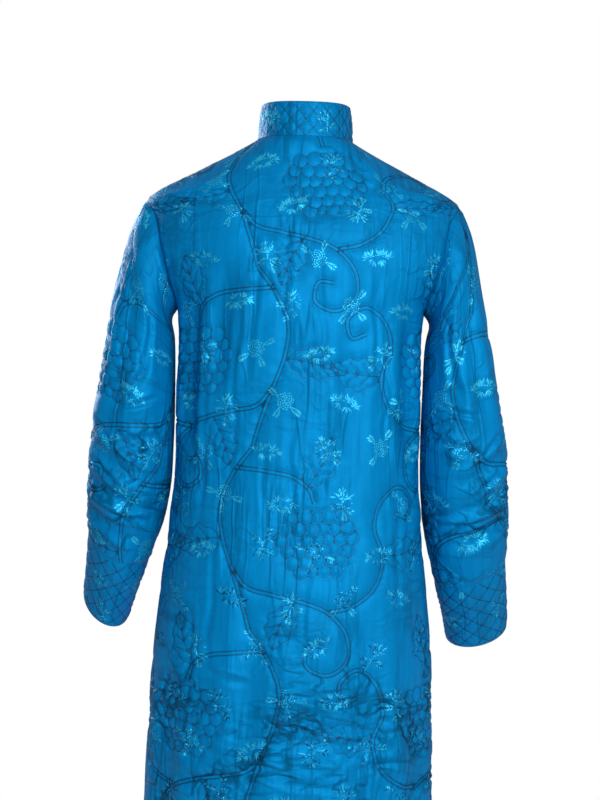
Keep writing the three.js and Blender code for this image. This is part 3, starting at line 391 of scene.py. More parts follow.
def to_flat(s, z):
    """How far up the flat cloth a height is, and to_height the reverse."""
    return np.where(z > SHOULDER_Z, SHOULDER_Z + (z - SHOULDER_Z) * slope_at(s), z)


def to_height(s, t):
    return np.where(t > SHOULDER_Z, SHOULDER_Z + (t - SHOULDER_Z) / slope_at(s), t)


def neck_z(side, share):
    """The height of the neck edge at a share of its half length."""
    turn = np.cos(np.asarray(share) * math.pi / 2)
    return -NECK_BACK_DIP * turn ** 2 if side > 0 else -NECK_FRONT_DIP * np.abs(turn) ** NECK_FRONT_CURVE


def flat_at_depth(side, depth, z):
    """The place across a side of the body where it is a given depth from the middle plane."""
    low, high = np.zeros_like(z), half_girth(side, z)
    for _ in range(32):
        middle = (low + high) / 2
        deeper = side * skin(side, middle, z)[..., 1] > depth
        low, high = np.where(deeper, middle, low), np.where(deeper, high, middle)
    return (low + high) / 2


ARMHOLE_MID, ARMHOLE_HALF = (TIP_Z + UNDERARM_Z) / 2, (TIP_Z - UNDERARM_Z) / 2


def armhole_z(angle):
    return ARMHOLE_MID + ARMHOLE_HALF * np.cos(angle)


def armhole_points(angle):
    """Angle 0 is the shoulder's tip, a quarter turn the middle of the back, a half turn the underarm."""
    z = armhole_z(angle)
    y = ARMHOLE_HALF_DEPTH * np.sin(angle)
    back = skin(1, flat_at_depth(1, np.abs(y), z), z)
    front = skin(-1, flat_at_depth(-1, np.abs(y), z), z)
    return np.where((y >= 0)[:, None], back, front)


# ---- the sleeves' form ----
ARM_ANGLES = np.linspace(-math.pi, math.pi, 721)


def sleeve_rings(arm):
    """The armhole and the table's ovals, each at the same angles."""
    rings = [armhole_points(ARM_ANGLES)]
    cosine, sine = np.cos(ARM_ANGLES), np.sin(ARM_ANGLES)
    for xo, zo, xi, zi, middle, half, lean in SLEEVE[arm]:
        tilt = math.radians(lean)
        x = (xo + xi) / 2 + cosine * (xo - xi) / 2
        y = middle + sine * half * math.cos(tilt)
        z = (zo + zi) / 2 + cosine * (zo - zi) / 2 - sine * half * math.sin(tilt)
        rings.append(np.stack([x, y, z], 1))
    return np.array(rings)


def ring_places(rings):
    """How far along the sleeve each ring's middle lies."""
    tip, underarm = len(ARM_ANGLES) // 2, 0
    middles = (rings[:, tip] + rings[:, underarm]) / 2
    return -np.concatenate([[0], np.cumsum(np.linalg.norm(np.diff(middles, axis=0), axis=1))])


SLEEVE_FORM = {arm: sleeve_rings(arm) for arm in SLEEVE}
SLEEVE_ROWS = {arm: ring_places(SLEEVE_FORM[arm]) for arm in SLEEVE}


def sleeve_at(arm, s, t):
    """A point of a sleeve; the right one is mirrored afterwards."""
    rings, rows = SLEEVE_FORM[arm], SLEEVE_ROWS[arm]
    s, t = np.broadcast_arrays(np.asarray(s, float), np.asarray(t, float))
    place = np.interp(-t, -rows, np.arange(LAST_RING + 1))
    place = place + np.where(t > 0, t / rows[1], 0)
    place = place + np.where(t < rows[-1], (t - rows[-1]) / (rows[-1] - rows[-2]), 0)
    i = np.clip(np.floor(place).astype(int), 0, LAST_RING - 1)
    k = (place - i)[..., None]
    turn = np.clip(s / SLEEVE_R / (ARM_ANGLES[1] - ARM_ANGLES[0]) + 360, 0, 719.999)
    j = turn.astype(int)
    v = (turn - j)[..., None]

    def ring(number):
        number = np.clip(number, 0, LAST_RING)
        return rings[number, j] * (1 - v) + rings[number, j + 1] * v

    b, c = ring(i), ring(i + 1)
    a = np.where((i > 0)[..., None], ring(i - 1), 2 * b - c)
    d = np.where((i < LAST_RING - 1)[..., None], ring(i + 2), 2 * c - b)
    return blend(k, b, c, 0.5 * (c - a), 0.5 * (d - b))


def sleeve_normal(arm, s, t):
    e = 0.8
    across = sleeve_at(arm, s + e, t) - sleeve_at(arm, s - e, t)
    up = sleeve_at(arm, s, np.minimum(t + e, 0)) - sleeve_at(arm, s, t - e)
    return unit(np.cross(across, up))


# ---- folds ----
def bent_folds(name, s, t):
    """A piece's folds, and its finer creases bent a little so that none is straight."""
    bent_s = s + 7 * wander(s / 38, t / 38, 21)
    bent_t = t + 7 * wander(t / 38, s / 38, 23)
    return folds_at(FOLDS[name], s, t) + folds_at(CREASES[name], bent_s, bent_t)


def folds_at(rows, s, t):
    """The depth of a piece's soft troughs, each with a low ridge along both sides."""
    total = np.zeros_like(s)
    for s0, t0, s1, t1, half, depth in rows:
        dx, dy = s1 - s0, t1 - t0
        near = (np.abs(s - (s0 + s1) / 2) < abs(dx) / 2 + 4 * half) & \
            (np.abs(t - (t0 + t1) / 2) < abs(dy) / 2 + 4 * half)
        x, y = s[near] - s0, t[near] - t0
        k = (x * dx + y * dy) / (dx * dx + dy * dy)
        q = np.clip(k, 0, 1)
        off = np.hypot(x - q * dx, y - q * dy) / half
        shape = np.exp(-off * off) - 0.45 * np.exp(-((off - 1.7) / 0.8) ** 2)
        total[near] += depth * shape * smooth(q / 0.25 + 0.15) * smooth((1 - q) / 0.3 + 0.1)
    return total


# ---- the quilted repeat ----
def steps_over(low, high, step, past):
    """The numbers of the steps that reach from low to high, one more before them and some past them."""
    return range(math.floor(low / step) - 1, math.ceil(high / step) + past)


def cells_over(polygon, repeat):
    """The middle, mirroring and turn of each cell that an outline can reach."""
    (x0, y0), (x1, y1) = polygon.min(0), polygon.max(0)
    for m in steps_over(repeat[1] - y1, repeat[1] - y0, CELL_DOWN, 2):
        for k in steps_over(x0 - repeat[0], x1 - repeat[0], CELL_ACROSS, 2):
            if (m + k) % 2 == 0:
                middle = (repeat[0] + k * CELL_ACROSS, repeat[1] - m * CELL_DOWN)
                yield middle, -1 if m % 2 else 1, CELL_TURN * (float(rand(k, m)) - 0.5)


def in_cell(cell, points):
    """Moves a motif's points to its cell, which is turned a little about its middle, but not at its rim."""
    middle, flip, turn = cell
    points = np.asarray(points, float)
    angle = turn * (1 - smooth((np.hypot(points[:, 0], points[:, 1]) - TURNED_WHOLE) / TURN_FADE))
    c, s = np.cos(angle), np.sin(angle)
    x = points[:, 0] * c - points[:, 1] * s
    y = points[:, 0] * s + points[:, 1] * c
    return points_at(middle[0] + flip * x, middle[1] + y)


BERRY_DISC, BERRY_SHIFT = BERRY * 0.57, 3.4
BUNCH_RADIUS = 75


def berry_middles():
    """The berries of a bunch, a little uneven, the ones that lie on top last."""
    out = []
    for r in reversed(range(len(BERRY_ROWS))):
        count = BERRY_ROWS[r]
        for b in range(count):
            off = BERRY_SHIFT * (rand(r + 3, b + np.array([1.0, 9.0])) - 0.5)
            out.append(((b - (count - 1) / 2) * BERRY + off[0], (2 - r) * BERRY * BERRY_ROW_SHARE + off[1]))
    return np.array(out)


def berry_radii():
    """The berries' radii, in the same order."""
    return BERRY_DISC * (0.92 + 0.2 * rand(np.arange(sum(BERRY_ROWS)), 5.0))


def berry_lines():
    """The stitched arcs of a bunch: of each circle, what no later circle covers."""
    middles, radii = berry_middles(), berry_radii()
    angle = np.linspace(0, 2 * math.pi, 37)
    ring = points_at(np.cos(angle), np.sin(angle))
    lines = []
    for i, middle in enumerate(middles):
        arc = middle + radii[i] * ring
        far = np.linalg.norm(arc[:, None] - middles[None, i + 1:], axis=2)
        lines += runs_of(arc, (far > radii[None, i + 1:] - 0.3).all(1))
    return lines


def runs_of(points, keep):
    """The stretches of a line whose points are kept."""
    cuts = np.flatnonzero(np.diff(np.concatenate([[False], keep, [False]]).astype(int)))
    return [points[a:b] for a, b in zip(cuts[::2], cuts[1::2]) if b - a > 2]


def leaf_lines(foot_x, foot_y, degrees, length, half):
    """A leaf's outline with three and a half lobes a side, its middle vein and its side veins."""
    a = math.radians(degrees)
    cosine, sine = math.cos(a), math.sin(a)
    k = np.linspace(0, 1, 60)
    lobes = 1 + 0.13 * np.sin(2 * math.pi * 3.5 * k - 0.6)
    width = half * np.sin(math.pi * k ** 0.86) ** 0.8 * lobes

    def to_cell(u, v):
        return points_at(foot_x + u * cosine - v * sine, foot_y + u * sine + v * cosine)

    bend = 0.05 * length * np.sin(math.pi * k)
    lines = [to_cell(k * length, width + bend), to_cell(k * length, bend - width), to_cell(k * length, bend)]
    for start in (0.2, 0.42, 0.62):
        for sign in (-1, 1):
            q = np.linspace(0, 1, 12)
            u = start + 0.2 * q ** 0.9
            v = 0.05 * length * np.sin(math.pi * u) + sign * 0.72 * q * np.interp(u, k, width)
            lines.append(to_cell(u * length, v))
    return lines


def beside_line(along):
    """The direction at a right angle to each direction along a line."""
    return unit(points_at(-along[:, 1], along[:, 0]))


def beside(line, distance):
    """A line moved sideways."""
    return line + distance * beside_line(np.gradient(line, axis=0))


class Pattern:
    """The quilting of one flat piece: stitch lines, raised lines between them, and bunches of berries."""

    def __init__(self, polygon, repeat, allowed):
        self.puff, self.reach = bpy.context.scene.coat_quilting.puff / MM, SWELL_REACH
        self.raised, self.bunches = [], []
        fine, bold = [], []
        lines = []  # each with the list that takes it, and whether it stops at the bunches
        for cell in cells_over(polygon, repeat):
            self.bunches.append(in_cell(cell, berry_middles()))
            lines += [(in_cell(cell, line), fine, False) for line in berry_lines()]
            for leaf in LEAVES:
                lines += [(in_cell(cell, line), fine, True) for line in leaf_lines(*leaf)]
            for vine in VINES:
                middle = in_cell(cell, resample(curve_through(vine), 2.0)[0])
                lines += [(beside(middle, far), bold, True) for far in (VINE_HALF, -VINE_HALF)]
                lines.append((middle, self.raised, True))
        runs = [resample(line, 1.0)[0] for line, _, _ in lines]
        every = np.vstack(runs)
        wanted = inside(polygon, every) & allowed(every[:, 0])
        off_bunches = nearest(tree_of(np.vstack(self.bunches)), every)[0] > BERRY_DISC + 0.6
        start = 0
        for (_, target, stops), run in zip(lines, runs):
            part = slice(start, start + len(run))
            target += runs_of(run, wanted[part] & (off_bunches[part] | (not stops)))
            start += len(run)
        ring = np.arange(6) * math.pi / 3
        ring = np.vstack([(0, 0), 0.5 * BERRY_DISC * points_at(np.cos(ring), np.sin(ring))])
        tops = (np.vstack(self.bunches)[:, None] + ring[None]).reshape(-1, 2)
        self.tops = tops[inside(polygon, tops) & allowed(tops[:, 0])]
        self.stitched = bold + fine
        dense = [p[::2] for p in self.stitched]
        along = [np.arange(len(p)) * 2.0 + 37.0 * i for i, p in enumerate(dense)]
        self.points = np.vstack(dense)
        self.along = np.concatenate(along)
        self.faint = np.where(np.arange(len(self.points)) < sum(len(p[::2]) for p in bold), 0.0, FINE_FAINT)
        self.tree = tree_of(self.points)

    def distance(self, points):
        """Distance to the nearest stitch line, the length along it and how faint its painted shade is.

        The line is a row of points 2 mm apart, so that a place up to 1.1 mm from one lies on the line.
        """
        gap, number = nearest(self.tree, points)
        return np.where(gap < 1.1, np.minimum(gap, 0.2), gap), self.along[number], self.faint[number]

    def domes(self, points):
        """How full the berry under each point is, from 0 to 1, and -1 off the bunches."""
        full = np.full(len(points), -1.0)
        for bunch in self.bunches:
            middle = bunch.mean(0)
            off = np.hypot(points[:, 0] - middle[0], points[:, 1] - middle[1])
            close = np.flatnonzero(off < BUNCH_RADIUS)
            if not len(close):
                continue
            for berry, radius in zip(bunch, berry_radii()):
                off = np.hypot(points[close, 0] - berry[0], points[close, 1] - berry[1]) / radius
                on = off < 1
                full[close[on]] = np.sqrt(1 - off[on] ** 2)
        return full


class Diamonds:
    """Stitch lines that cross in diamonds, used in the same way as a Pattern."""

    def __init__(self, polygon, corner, across, down, columns, tiers):
        self.puff, self.reach = bpy.context.scene.coat_quilting.diamond_puff / MM, DIAMOND_REACH
        self.corner, self.across, self.down = corner, across, down
        self.stitched, self.raised, self.tops = [], [], np.zeros((0, 2))
        j = np.linspace(0, tiers, 40 * tiers + 1)
        for start in range(-2 * tiers, columns + 2 * tiers, 2):
            for i in (start - j, start + j):
                line, _ = resample(points_at(corner[0] + across * i, corner[1] - down * j), 1.0)
                self.stitched += runs_of(line, inside(polygon, line))

    def distance(self, points):
        """The same as a Pattern's, worked out from the lines' even spacing."""
        i, j = (points[:, 0] - self.corner[0]) / self.across, (self.corner[1] - points[:, 1]) / self.down
        u, v = (i + j) / 2, (i - j) / 2
        gap_u, gap_v = np.abs(u - np.round(u)) * 2, np.abs(v - np.round(v)) * 2
        side = math.hypot(self.across, self.down)
        along = np.where(gap_u < gap_v, v, u) * 2 * side + 31 * np.round(np.where(gap_u < gap_v, u, v))
        return np.minimum(gap_u, gap_v) * self.across * self.down / side, along, DIAMOND_FAINT

    def domes(self, points):
        return np.full(len(points), -1.0)


# ---- meshes ----
def new_object(name, data):
    made = bpy.data.objects.new(name, data)
    bpy.context.scene.collection.objects.link(made)
    return made


def mesh_piece(name, points, faces, materials, cloth, slots=None, values=None, sharp=180.0):
    """A mesh from points in millimetres and rows of three corners; cloth has the flat place of every corner.

    Edges that turn by more than sharp degrees are shaded as sharp.
    """
    mesh = bpy.data.meshes.new(name)
    mesh.vertices.add(len(points))
    mesh.vertices.foreach_set("co", (np.asarray(points) * MM).astype(np.float32).ravel())
    mesh.loops.add(faces.size)
    mesh.loops.foreach_set("vertex_index", faces.astype(np.int32).ravel())
    mesh.polygons.add(len(faces))
    mesh.polygons.foreach_set("loop_start", np.arange(0, faces.size, faces.shape[1], dtype=np.int32))
    if slots is not None:
        mesh.polygons.foreach_set("material_index", slots.astype(np.int32))
    mesh.polygons.foreach_set("use_smooth", np.ones(len(faces), bool))
    mesh.update(calc_edges=True)
    layer = mesh.uv_layers.new(name="cloth")
    layer.uv.foreach_set("vector", (cloth * MM).astype(np.float32).ravel())
    for key, numbers in (values or {}).items():
        attribute = mesh.attributes.new(key, "FLOAT", "POINT")
        attribute.data.foreach_set("value", numbers.astype(np.float32))
    for material in materials:
        mesh.materials.append(material)
    mesh.set_sharp_from_angle(angle=math.radians(sharp))
    piece = new_object(name, mesh)
    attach(piece, "root")
    return piece


def volume(points, faces):
    """Six times the volume inside closed faces, below 0 where they look inward."""
    a, b, c = points[faces[:, 0]], points[faces[:, 1]], points[faces[:, 2]]
    return (a * np.cross(b, c)).sum()


def fill_outline(edge, middle):
    """Triangles over an outline and the points inside it, all facing the same way."""
    points = np.vstack([edge, middle])
    count = len(edge)
    ring = [(i, (i + 1) % count) for i in range(count)]
    found = geometry.delaunay_2d_cdt([Vector(p) for p in points.tolist()], ring, [], 0, 1e-5, True)
    made, _, faces, origins = found[:4]
    number = np.array([o[0] if o else -1 for o in origins])
    if len(made) > len(points) or (number < 0).any():
        raise RuntimeError("an outline crosses itself")
    faces = number[np.array([f for f in faces if len(f) == 3])]
    faces = faces[inside(edge, points[faces].mean(1))]
    a, b, c = points[faces[:, 0]], points[faces[:, 1]], points[faces[:, 2]]
    turn = (b[:, 0] - a[:, 0]) * (c[:, 1] - a[:, 1]) - (b[:, 1] - a[:, 1]) * (c[:, 0] - a[:, 0])
    faces = faces[np.abs(turn) > 1e-9]
    turn = turn[np.abs(turn) > 1e-9]
    faces[turn < 0] = faces[turn < 0][:, ::-1]
    return points, faces


def hex_grid(polygon, step):
    """Points inside an outline in staggered rows, a little uneven."""
    (x0, y0), (x1, y1) = polygon.min(0), polygon.max(0)
    row = step * math.sqrt(3) / 2
    ys = np.arange(y0 + step / 2, y1, row)
    xs = np.arange(x0 - step, x1 + step, step)
    x, y = np.meshgrid(xs, ys)
    x = x + (np.arange(len(ys)) % 2)[:, None] * step / 2
    grid = points_at(x.ravel(), y.ravel())
    jitter = points_at(rand(grid[:, 0], grid[:, 1]), rand(grid[:, 1], grid[:, 0])) - 0.5
    grid = grid + GRID_JITTER * step * jitter
    return grid[inside(polygon, grid)]


def thin_out(points, gap):
    """Drops points that share a small square with an earlier one."""
    if not len(points):
        return points
    _, first = np.unique(np.round(points / gap).astype(int), axis=0, return_index=True)
    return points[np.sort(first)]


class Edge:
    """A piece's outline: flat points, the wall's slant there, how much its rim rounds, a tube's seam."""

    def __init__(self):
        self.points, self.slants, self.rims, self.seams = [], [], [], []

    def add(self, points, slants=None, rim=0.0, seam=False):
        points = np.asarray(points, float)
        count = len(points)
        self.points.append(points)
        self.slants.append(np.zeros((count, 3)) if slants is None else slants)
        self.rims.append(np.broadcast_to(np.asarray(rim, float), count))
        self.seams.append(np.full(count, seam))

    def close(self):
        """Joins the stretches, without the points that two stretches share."""
        points, slants = np.vstack(self.points), np.vstack(self.slants)
        rims, seams = np.concatenate(self.rims), np.concatenate(self.seams)
        gap = np.linalg.norm(points - np.roll(points, 1, axis=0), axis=1)
        for i in np.flatnonzero(gap < 1e-6):
            slants[i - 1] = np.where(np.abs(slants[i - 1]).sum() > 0, slants[i - 1], slants[i])
            rims[i - 1] = max(rims[i - 1], rims[i])
            seams[i - 1] |= seams[i]
        keep = gap >= 1e-6
        self.points, self.slants, self.rims, self.seams = points[keep], slants[keep], rims[keep], seams[keep]
        return self


def outward_of(outline):
    """The direction out of a flat outline at each of its points."""
    along = np.roll(outline, -1, axis=0) - np.roll(outline, 1, axis=0)
    normals = unit(points_at(along[:, 1], -along[:, 0]))
    x, y = outline[:, 0], outline[:, 1]
    anticlockwise = (x * np.roll(y, -1) - np.roll(x, -1) * y).sum() > 0
    return normals if anticlockwise else -normals


def cloth_wall(name, edge, outer, inner, place, materials, heights, values, thick=WALL):
    """A closed wall of cloth: an outer face through the given points, a plain inner face, a rounded rim.

    place(s, t, height) gives points in space. heights and values belong to the outer points, edge first.
    """
    flat, count = edge.points, len(edge.points)
    outer_flat, outer_faces = fill_outline(flat, outer)
    inner_flat, inner_faces = fill_outline(flat, inner)
    outer_points = place(outer_flat[:, 0], outer_flat[:, 1], heights)
    inner_points = place(inner_flat[:, 0], inner_flat[:, 1], np.full(len(inner_flat), -thick))
    slanted = np.abs(edge.slants).sum(1) > 0
    foot = place(flat[slanted, 0], flat[slanted, 1], np.zeros(slanted.sum()))
    inner_points[:count][slanted] = foot - thick * edge.slants[slanted]
    beyond = outward_of(flat)
    beyond[edge.seams, 0] = 0
    past = flat + 0.5 * beyond
    level = np.full(count, -thick / 2)
    outward = unit(place(past[:, 0], past[:, 1], level) - place(flat[:, 0], flat[:, 1], level))
    middle = (outer_points[:count] + inner_points[:count]) / 2 + outward * edge.rims[:, None]
    points = np.vstack([outer_points, middle, inner_points])
    m0, n0 = len(outer_points), len(outer_points) + count
    here, after = np.arange(count), (np.arange(count) + 1) % count
    shut = edge.seams[here] & edge.seams[after] & (np.abs(flat[here, 0] - flat[after, 0]) < 1e-6)
    here, after = here[~shut], after[~shut]
    strip = [
        triangles(after, here, m0 + here), triangles(after, m0 + here, m0 + after),
        triangles(m0 + after, m0 + here, n0 + here), triangles(m0 + after, n0 + here, n0 + after),
    ]
    faces = np.vstack([outer_faces, *strip, n0 + inner_faces[:, ::-1]])
    slots = np.concatenate([np.zeros(len(outer_faces) + 4 * len(here)), np.ones(len(inner_faces))])
    if volume(points, faces) < 0:
        faces = faces[:, ::-1]
    cloth = np.vstack([outer_flat, flat, inner_flat])[faces.ravel()]
    beyond_outer = np.full(count + len(inner_flat), FAR)
    every = {k: np.concatenate([v, beyond_outer]) for k, v in values.items()}
    if edge.seams.any():
        points, faces, every = weld(points, faces, every)
    return mesh_piece(name, points, faces, materials, cloth, slots, every, 62.0)


def weld(points, faces, values):
    """Joins the points that lie on one another along a tube's seam."""
    _, first, number = np.unique(np.round(points, 3), axis=0, return_index=True, return_inverse=True)
    used, faces = np.unique(number.ravel()[faces], return_inverse=True)
    kept = first[used]
    return points[kept], faces.reshape(-1, 3), {k: v[kept] for k, v in values.items()}


# ---- outlines ----
def rows_between(top, bottom, step=3.0):
    """Even steps from one number to another, both included."""
    return np.linspace(top, bottom, max(2, round(abs(top - bottom) / step) + 1))


def mouth_at(z):
    """How far open the pocket is at a height, from 0 to 1."""
    k = (z - POCKET_BOTTOM) / (POCKET_TOP - POCKET_BOTTOM)
    return np.where((k > 0) & (k < 1), np.sin(np.clip(k, 0, 1) * math.pi) ** 0.7, 0.0)


def armhole_slant(side, angle):
    """The wall's slant at the armhole, shared by body and sleeve where their seam is an outward corner."""
    z = armhole_z(angle)
    depth = np.maximum(SEAM_GAP / 2, ARMHOLE_HALF_DEPTH * np.sin(angle))
    body = skin_normal(side, flat_at_depth(side, depth, z), z)
    sleeve = sleeve_normal("left", side * angle * SLEEVE_R, -0.4)
    across = np.array([200.0, 0.0, ARMHOLE_MID]) - armhole_points(side * angle)
    towards = unit(across - (across * body).sum(1)[:, None] * body)
    bend = (sleeve * towards).sum(1)
    return np.where((bend > 0)[:, None], unit(body + sleeve), 0.0)


def mirrored(vectors, x):
    """The same vectors for x 1, and those of the other side of the coat for x -1."""
    return vectors * np.array([x, 1.0, 1.0])


def panel_side(edge, side, x, mouth, upward):
    """Adds one side of a body panel to an outline: side seam, armhole and shoulder, upward or downward."""
    z = rows_between(HEM_Z, UNDERARM_Z)
    seam = half_girth(side, z) - SEAM_GAP / 2 - mouth * mouth_at(z)
    stretches = [(points_at(x * seam, z), np.zeros((len(z), 3)), RIM * (mouth > 0) * (mouth_at(z) > 0))]
    angle = np.linspace(math.pi, 0, 68)[1:]
    z = armhole_z(angle)
    s = flat_at_depth(side, np.maximum(SEAM_GAP / 2, ARMHOLE_HALF_DEPTH * np.sin(angle)), z)
    s[-1] = half_girth(side, TIP_Z) - SEAM_GAP / 2
    stretches.append((points_at(x * s, to_flat(s, z)), mirrored(armhole_slant(side, angle), x), 0.0))
    z = rows_between(TIP_Z, 0, 1.6)[1:]
    s = half_girth(side, z) - SEAM_GAP / 2
    stretches.append((points_at(x * s, to_flat(s, z)), np.zeros((len(z), 3)), 0.0))
    for points, slants, rim in stretches if upward else reversed(stretches):
        rim = np.broadcast_to(rim, len(points))
        if not upward:
            points, slants, rim = points[::-1], slants[::-1], rim[::-1]
        edge.add(points, slants, rim)


def neck_line(side, start, end):
    """The neck edge between two shares of its half length; a share below 0 is on the wearer's right."""
    share = np.linspace(start, end, round(abs(end - start) * 32) + 1)[1:-1]
    s = half_girth(side, 0) * np.abs(share)
    z = neck_z(side, np.abs(share))
    return points_at(np.sign(share) * s, to_flat(s, z))


def hem_line(start, end):
    return points_at(rows_between(start, end), HEM_Z)


def back_edge():
    edge = Edge()
    reach = half_girth(1, HEM_Z) - SEAM_GAP / 2
    edge.add(hem_line(-reach, reach), rim=RIM)
    panel_side(edge, 1, 1, 0, True)
    edge.add(neck_line(1, 1, -1))
    panel_side(edge, 1, -1, 0, False)
    return edge.close()


def front_edge(x):
    """The left front (x 1) runs under the right one (x -1) past the centre line."""
    edge = Edge()
    reach = half_girth(-1, HEM_Z) - SEAM_GAP / 2
    top = float(neck_z(-1, 0))
    lap = -UNDERLAP if x > 0 else OVERLAP
    placket = points_at(lap, rows_between(top, HEM_Z))
    ledge = points_at(rows_between(0, lap), top)
    if x > 0:
        edge.add(hem_line(lap, reach), rim=RIM)
        panel_side(edge, -1, 1, POCKET_MOUTH, True)
        edge.add(neck_line(-1, 1, 0))
        edge.add(ledge)
        edge.add(placket[1:], rim=RIM)
    else:
        edge.add(hem_line(-reach, lap), rim=RIM)
        edge.add(placket[::-1], rim=RIM)
        edge.add(ledge[::-1][1:])
        edge.add(neck_line(-1, 0, -1))
        panel_side(edge, -1, -1, POCKET_MOUTH, False)
    return edge.close()


def tube_edge(across, top, bottom, slants=None, rim=0.0):
    """The outline of a tube laid flat, open along its seam under the arm."""
    edge = Edge()
    reach = across[-1]
    down = rows_between(top, bottom)
    edge.add(points_at(across, bottom), rim=rim)
    edge.add(points_at(reach, down[::-1]), seam=True)
    edge.add(points_at(across[::-1], top), None if slants is None else slants[::-1])
    edge.add(points_at(-reach, down), seam=True)
    return edge.close()


def sleeve_edge(arm, x):
    across = np.linspace(-SLEEVE_REACH, SLEEVE_REACH, TUBE_COLUMNS)
    back, front = (armhole_slant(side, np.abs(across) / SLEEVE_R) for side in (1, -1))
    slants = np.where(((across > 0) & (across < SLEEVE_REACH - 1e-6))[:, None], back, front)
    return tube_edge(across, -SEAM_GAP, SLEEVE_ROWS[arm][CUFF_RING] + SEAM_GAP / 2, mirrored(slants, x))


def cuff_edge(arm):
    top, bottom = SLEEVE_ROWS[arm][CUFF_RING] - SEAM_GAP / 2, SLEEVE_ROWS[arm][LAST_RING]
    return tube_edge(np.linspace(-SLEEVE_REACH, SLEEVE_REACH, TUBE_COLUMNS), top, bottom, rim=RIM)


COLLAR_REACH = 2 * COLLAR_STEPS * COLLAR_PITCH


def collar_edge():
    """A strip with its upper corners rounded."""
    edge = Edge()
    step = 2.4
    edge.add(points_at(rows_between(-COLLAR_REACH, COLLAR_REACH, step), 0.0))
    turn = np.linspace(math.pi / 2, 0, 10)
    corner = points_at(COLLAR_REACH - COLLAR_CORNER * (1 - np.sin(turn)),
                       COLLAR_HEIGHT - COLLAR_CORNER * (1 - np.cos(turn)))
    rise = rows_between(0, COLLAR_HEIGHT - COLLAR_CORNER, step)
    edge.add(points_at(COLLAR_REACH, rise))
    edge.add(corner, rim=RIM)
    crown = rows_between(COLLAR_REACH - COLLAR_CORNER, COLLAR_CORNER - COLLAR_REACH, step)
    edge.add(points_at(crown, COLLAR_HEIGHT), rim=RIM)
    edge.add(corner[::-1] * (-1, 1), rim=RIM)
    edge.add(points_at(-COLLAR_REACH, rise[::-1]))
    return edge.close()


def bag_edge():
    """A pocket bag, with s counted from the side seam."""
    edge = Edge()
    back, corner = BAG_LAP, BAG_CORNER
    k = np.linspace(0, 1, 30)
    edge.add(points_at(back + (POCKET_DEPTH - corner - back) * k, BAG_BOTTOM + BAG_RISE * (1 - k) ** 2))
    turn = np.linspace(-math.pi / 2, 0, 16)
    round_x, round_y = corner * np.cos(turn), corner * np.sin(turn)
    edge.add(points_at(POCKET_DEPTH - corner + round_x, BAG_BOTTOM + corner + round_y))
    edge.add(points_at(POCKET_DEPTH, rows_between(BAG_BOTTOM + corner, BAG_TOP - BAG_FALL, BAG_GRID)))
    edge.add(points_at(POCKET_DEPTH + (back - POCKET_DEPTH) * k, BAG_TOP - BAG_FALL * (1 - k)))
    edge.add(points_at(back, rows_between(BAG_TOP, BAG_BOTTOM + BAG_RISE, BAG_GRID)))
    return edge.close()


# ---- how each piece lies ----
def on_panel(side, name, extra=None):
    """Lays flat places of a body panel on the body's form, with its folds."""
    def place(s, t, height):
        z = to_height(s, t)
        fold = bent_folds(name, s, z) * smooth((half_girth(side, z) - np.abs(s)) / FOLD_FADE)
        lift = height - fold + (extra(s, z) if extra else 0)
        return skin(side, s, z) + skin_normal(side, s, z) * lift[:, None]

    return place


def front_extra(x):
    """The left front steps inward under the right one, and a pocket's front lip stands a little away."""
    def extra(s, z):
        from_mouth = half_girth(-1, z) - x * s - POCKET_MOUTH
        lip = POCKET_LIFT * mouth_at(z) * smooth(1 - from_mouth / LIP_WIDE)
        return lip - STEP_IN * smooth((STEP_END - s) / STEP_WIDE) if x > 0 else lip

    return extra


def on_sleeve(arm, x):
    """Lays flat places of a sleeve or cuff on the sleeve's form; its folds end before every seam."""
    end = SLEEVE_ROWS[arm][CUFF_RING]

    def place(s, t, height):
        s = np.where(s > SLEEVE_REACH - 1e-6, -s, s)
        fade = smooth((SLEEVE_REACH - np.abs(s)) / FOLD_FADE) * smooth(-t / 40) * smooth((t - end) / 25)
        lift = height - bent_folds("sleeve", s, t) * fade
        return mirrored(sleeve_at(arm, s, t) + sleeve_normal(arm, s, t) * lift[:, None], x)

    return place


# Near the arm, and under a closure, the swell stays low. It rises sideways, and downward below a level.
ARM_BAND, ARM_RISE, ARM_LEVEL = 14, 0.16, 470
FROG_RISE, FROG_LEVEL = 0.14, 545
UNDERARM_BAND, UNDERARM_LEVEL = 42, 330
RISE_BELOW, LOW_SWELL = 0.1, 0.4


def near_arm(s, z):
    """The swell that fits between body and sleeve."""
    sideways = np.clip((half_girth(1, z) - np.abs(s) - ARM_BAND) * ARM_RISE, 0, FAR)
    return sideways + np.clip((-z - ARM_LEVEL) * RISE_BELOW, 0, FAR)


def frog_band(s, z, reach):
    """The swell that fits under a frog closure."""
    sideways = np.clip((np.abs(s) - reach) * FROG_RISE, LOW_SWELL, FAR)
    return sideways + np.clip((-z - FROG_LEVEL) * RISE_BELOW, 0, FAR)


def sleeve_cap(s, t):
    """The swell that fits between sleeve and body."""
    sideways = np.clip((SLEEVE_REACH - np.abs(s) - UNDERARM_BAND) * ARM_RISE, LOW_SWELL, FAR)
    return sideways + np.clip((-t - UNDERARM_LEVEL) * RISE_BELOW, 0, FAR)


def collar_foot(s):
    """The line that the collar is sewn to."""
    turn = np.abs(s) / (COLLAR_STEPS * COLLAR_PITCH)
    back = turn <= 1
    share = np.where(back, turn, 2 - turn)
    z = np.where(back, neck_z(1, share), neck_z(-1, share))
    flat = share * np.where(back, half_girth(1, 0), half_girth(-1, 0))
    foot = np.where(back[:, None], skin(1, flat, z), skin(-1, flat, z))
    foot[:, 0] *= side_of(s)
    return foot


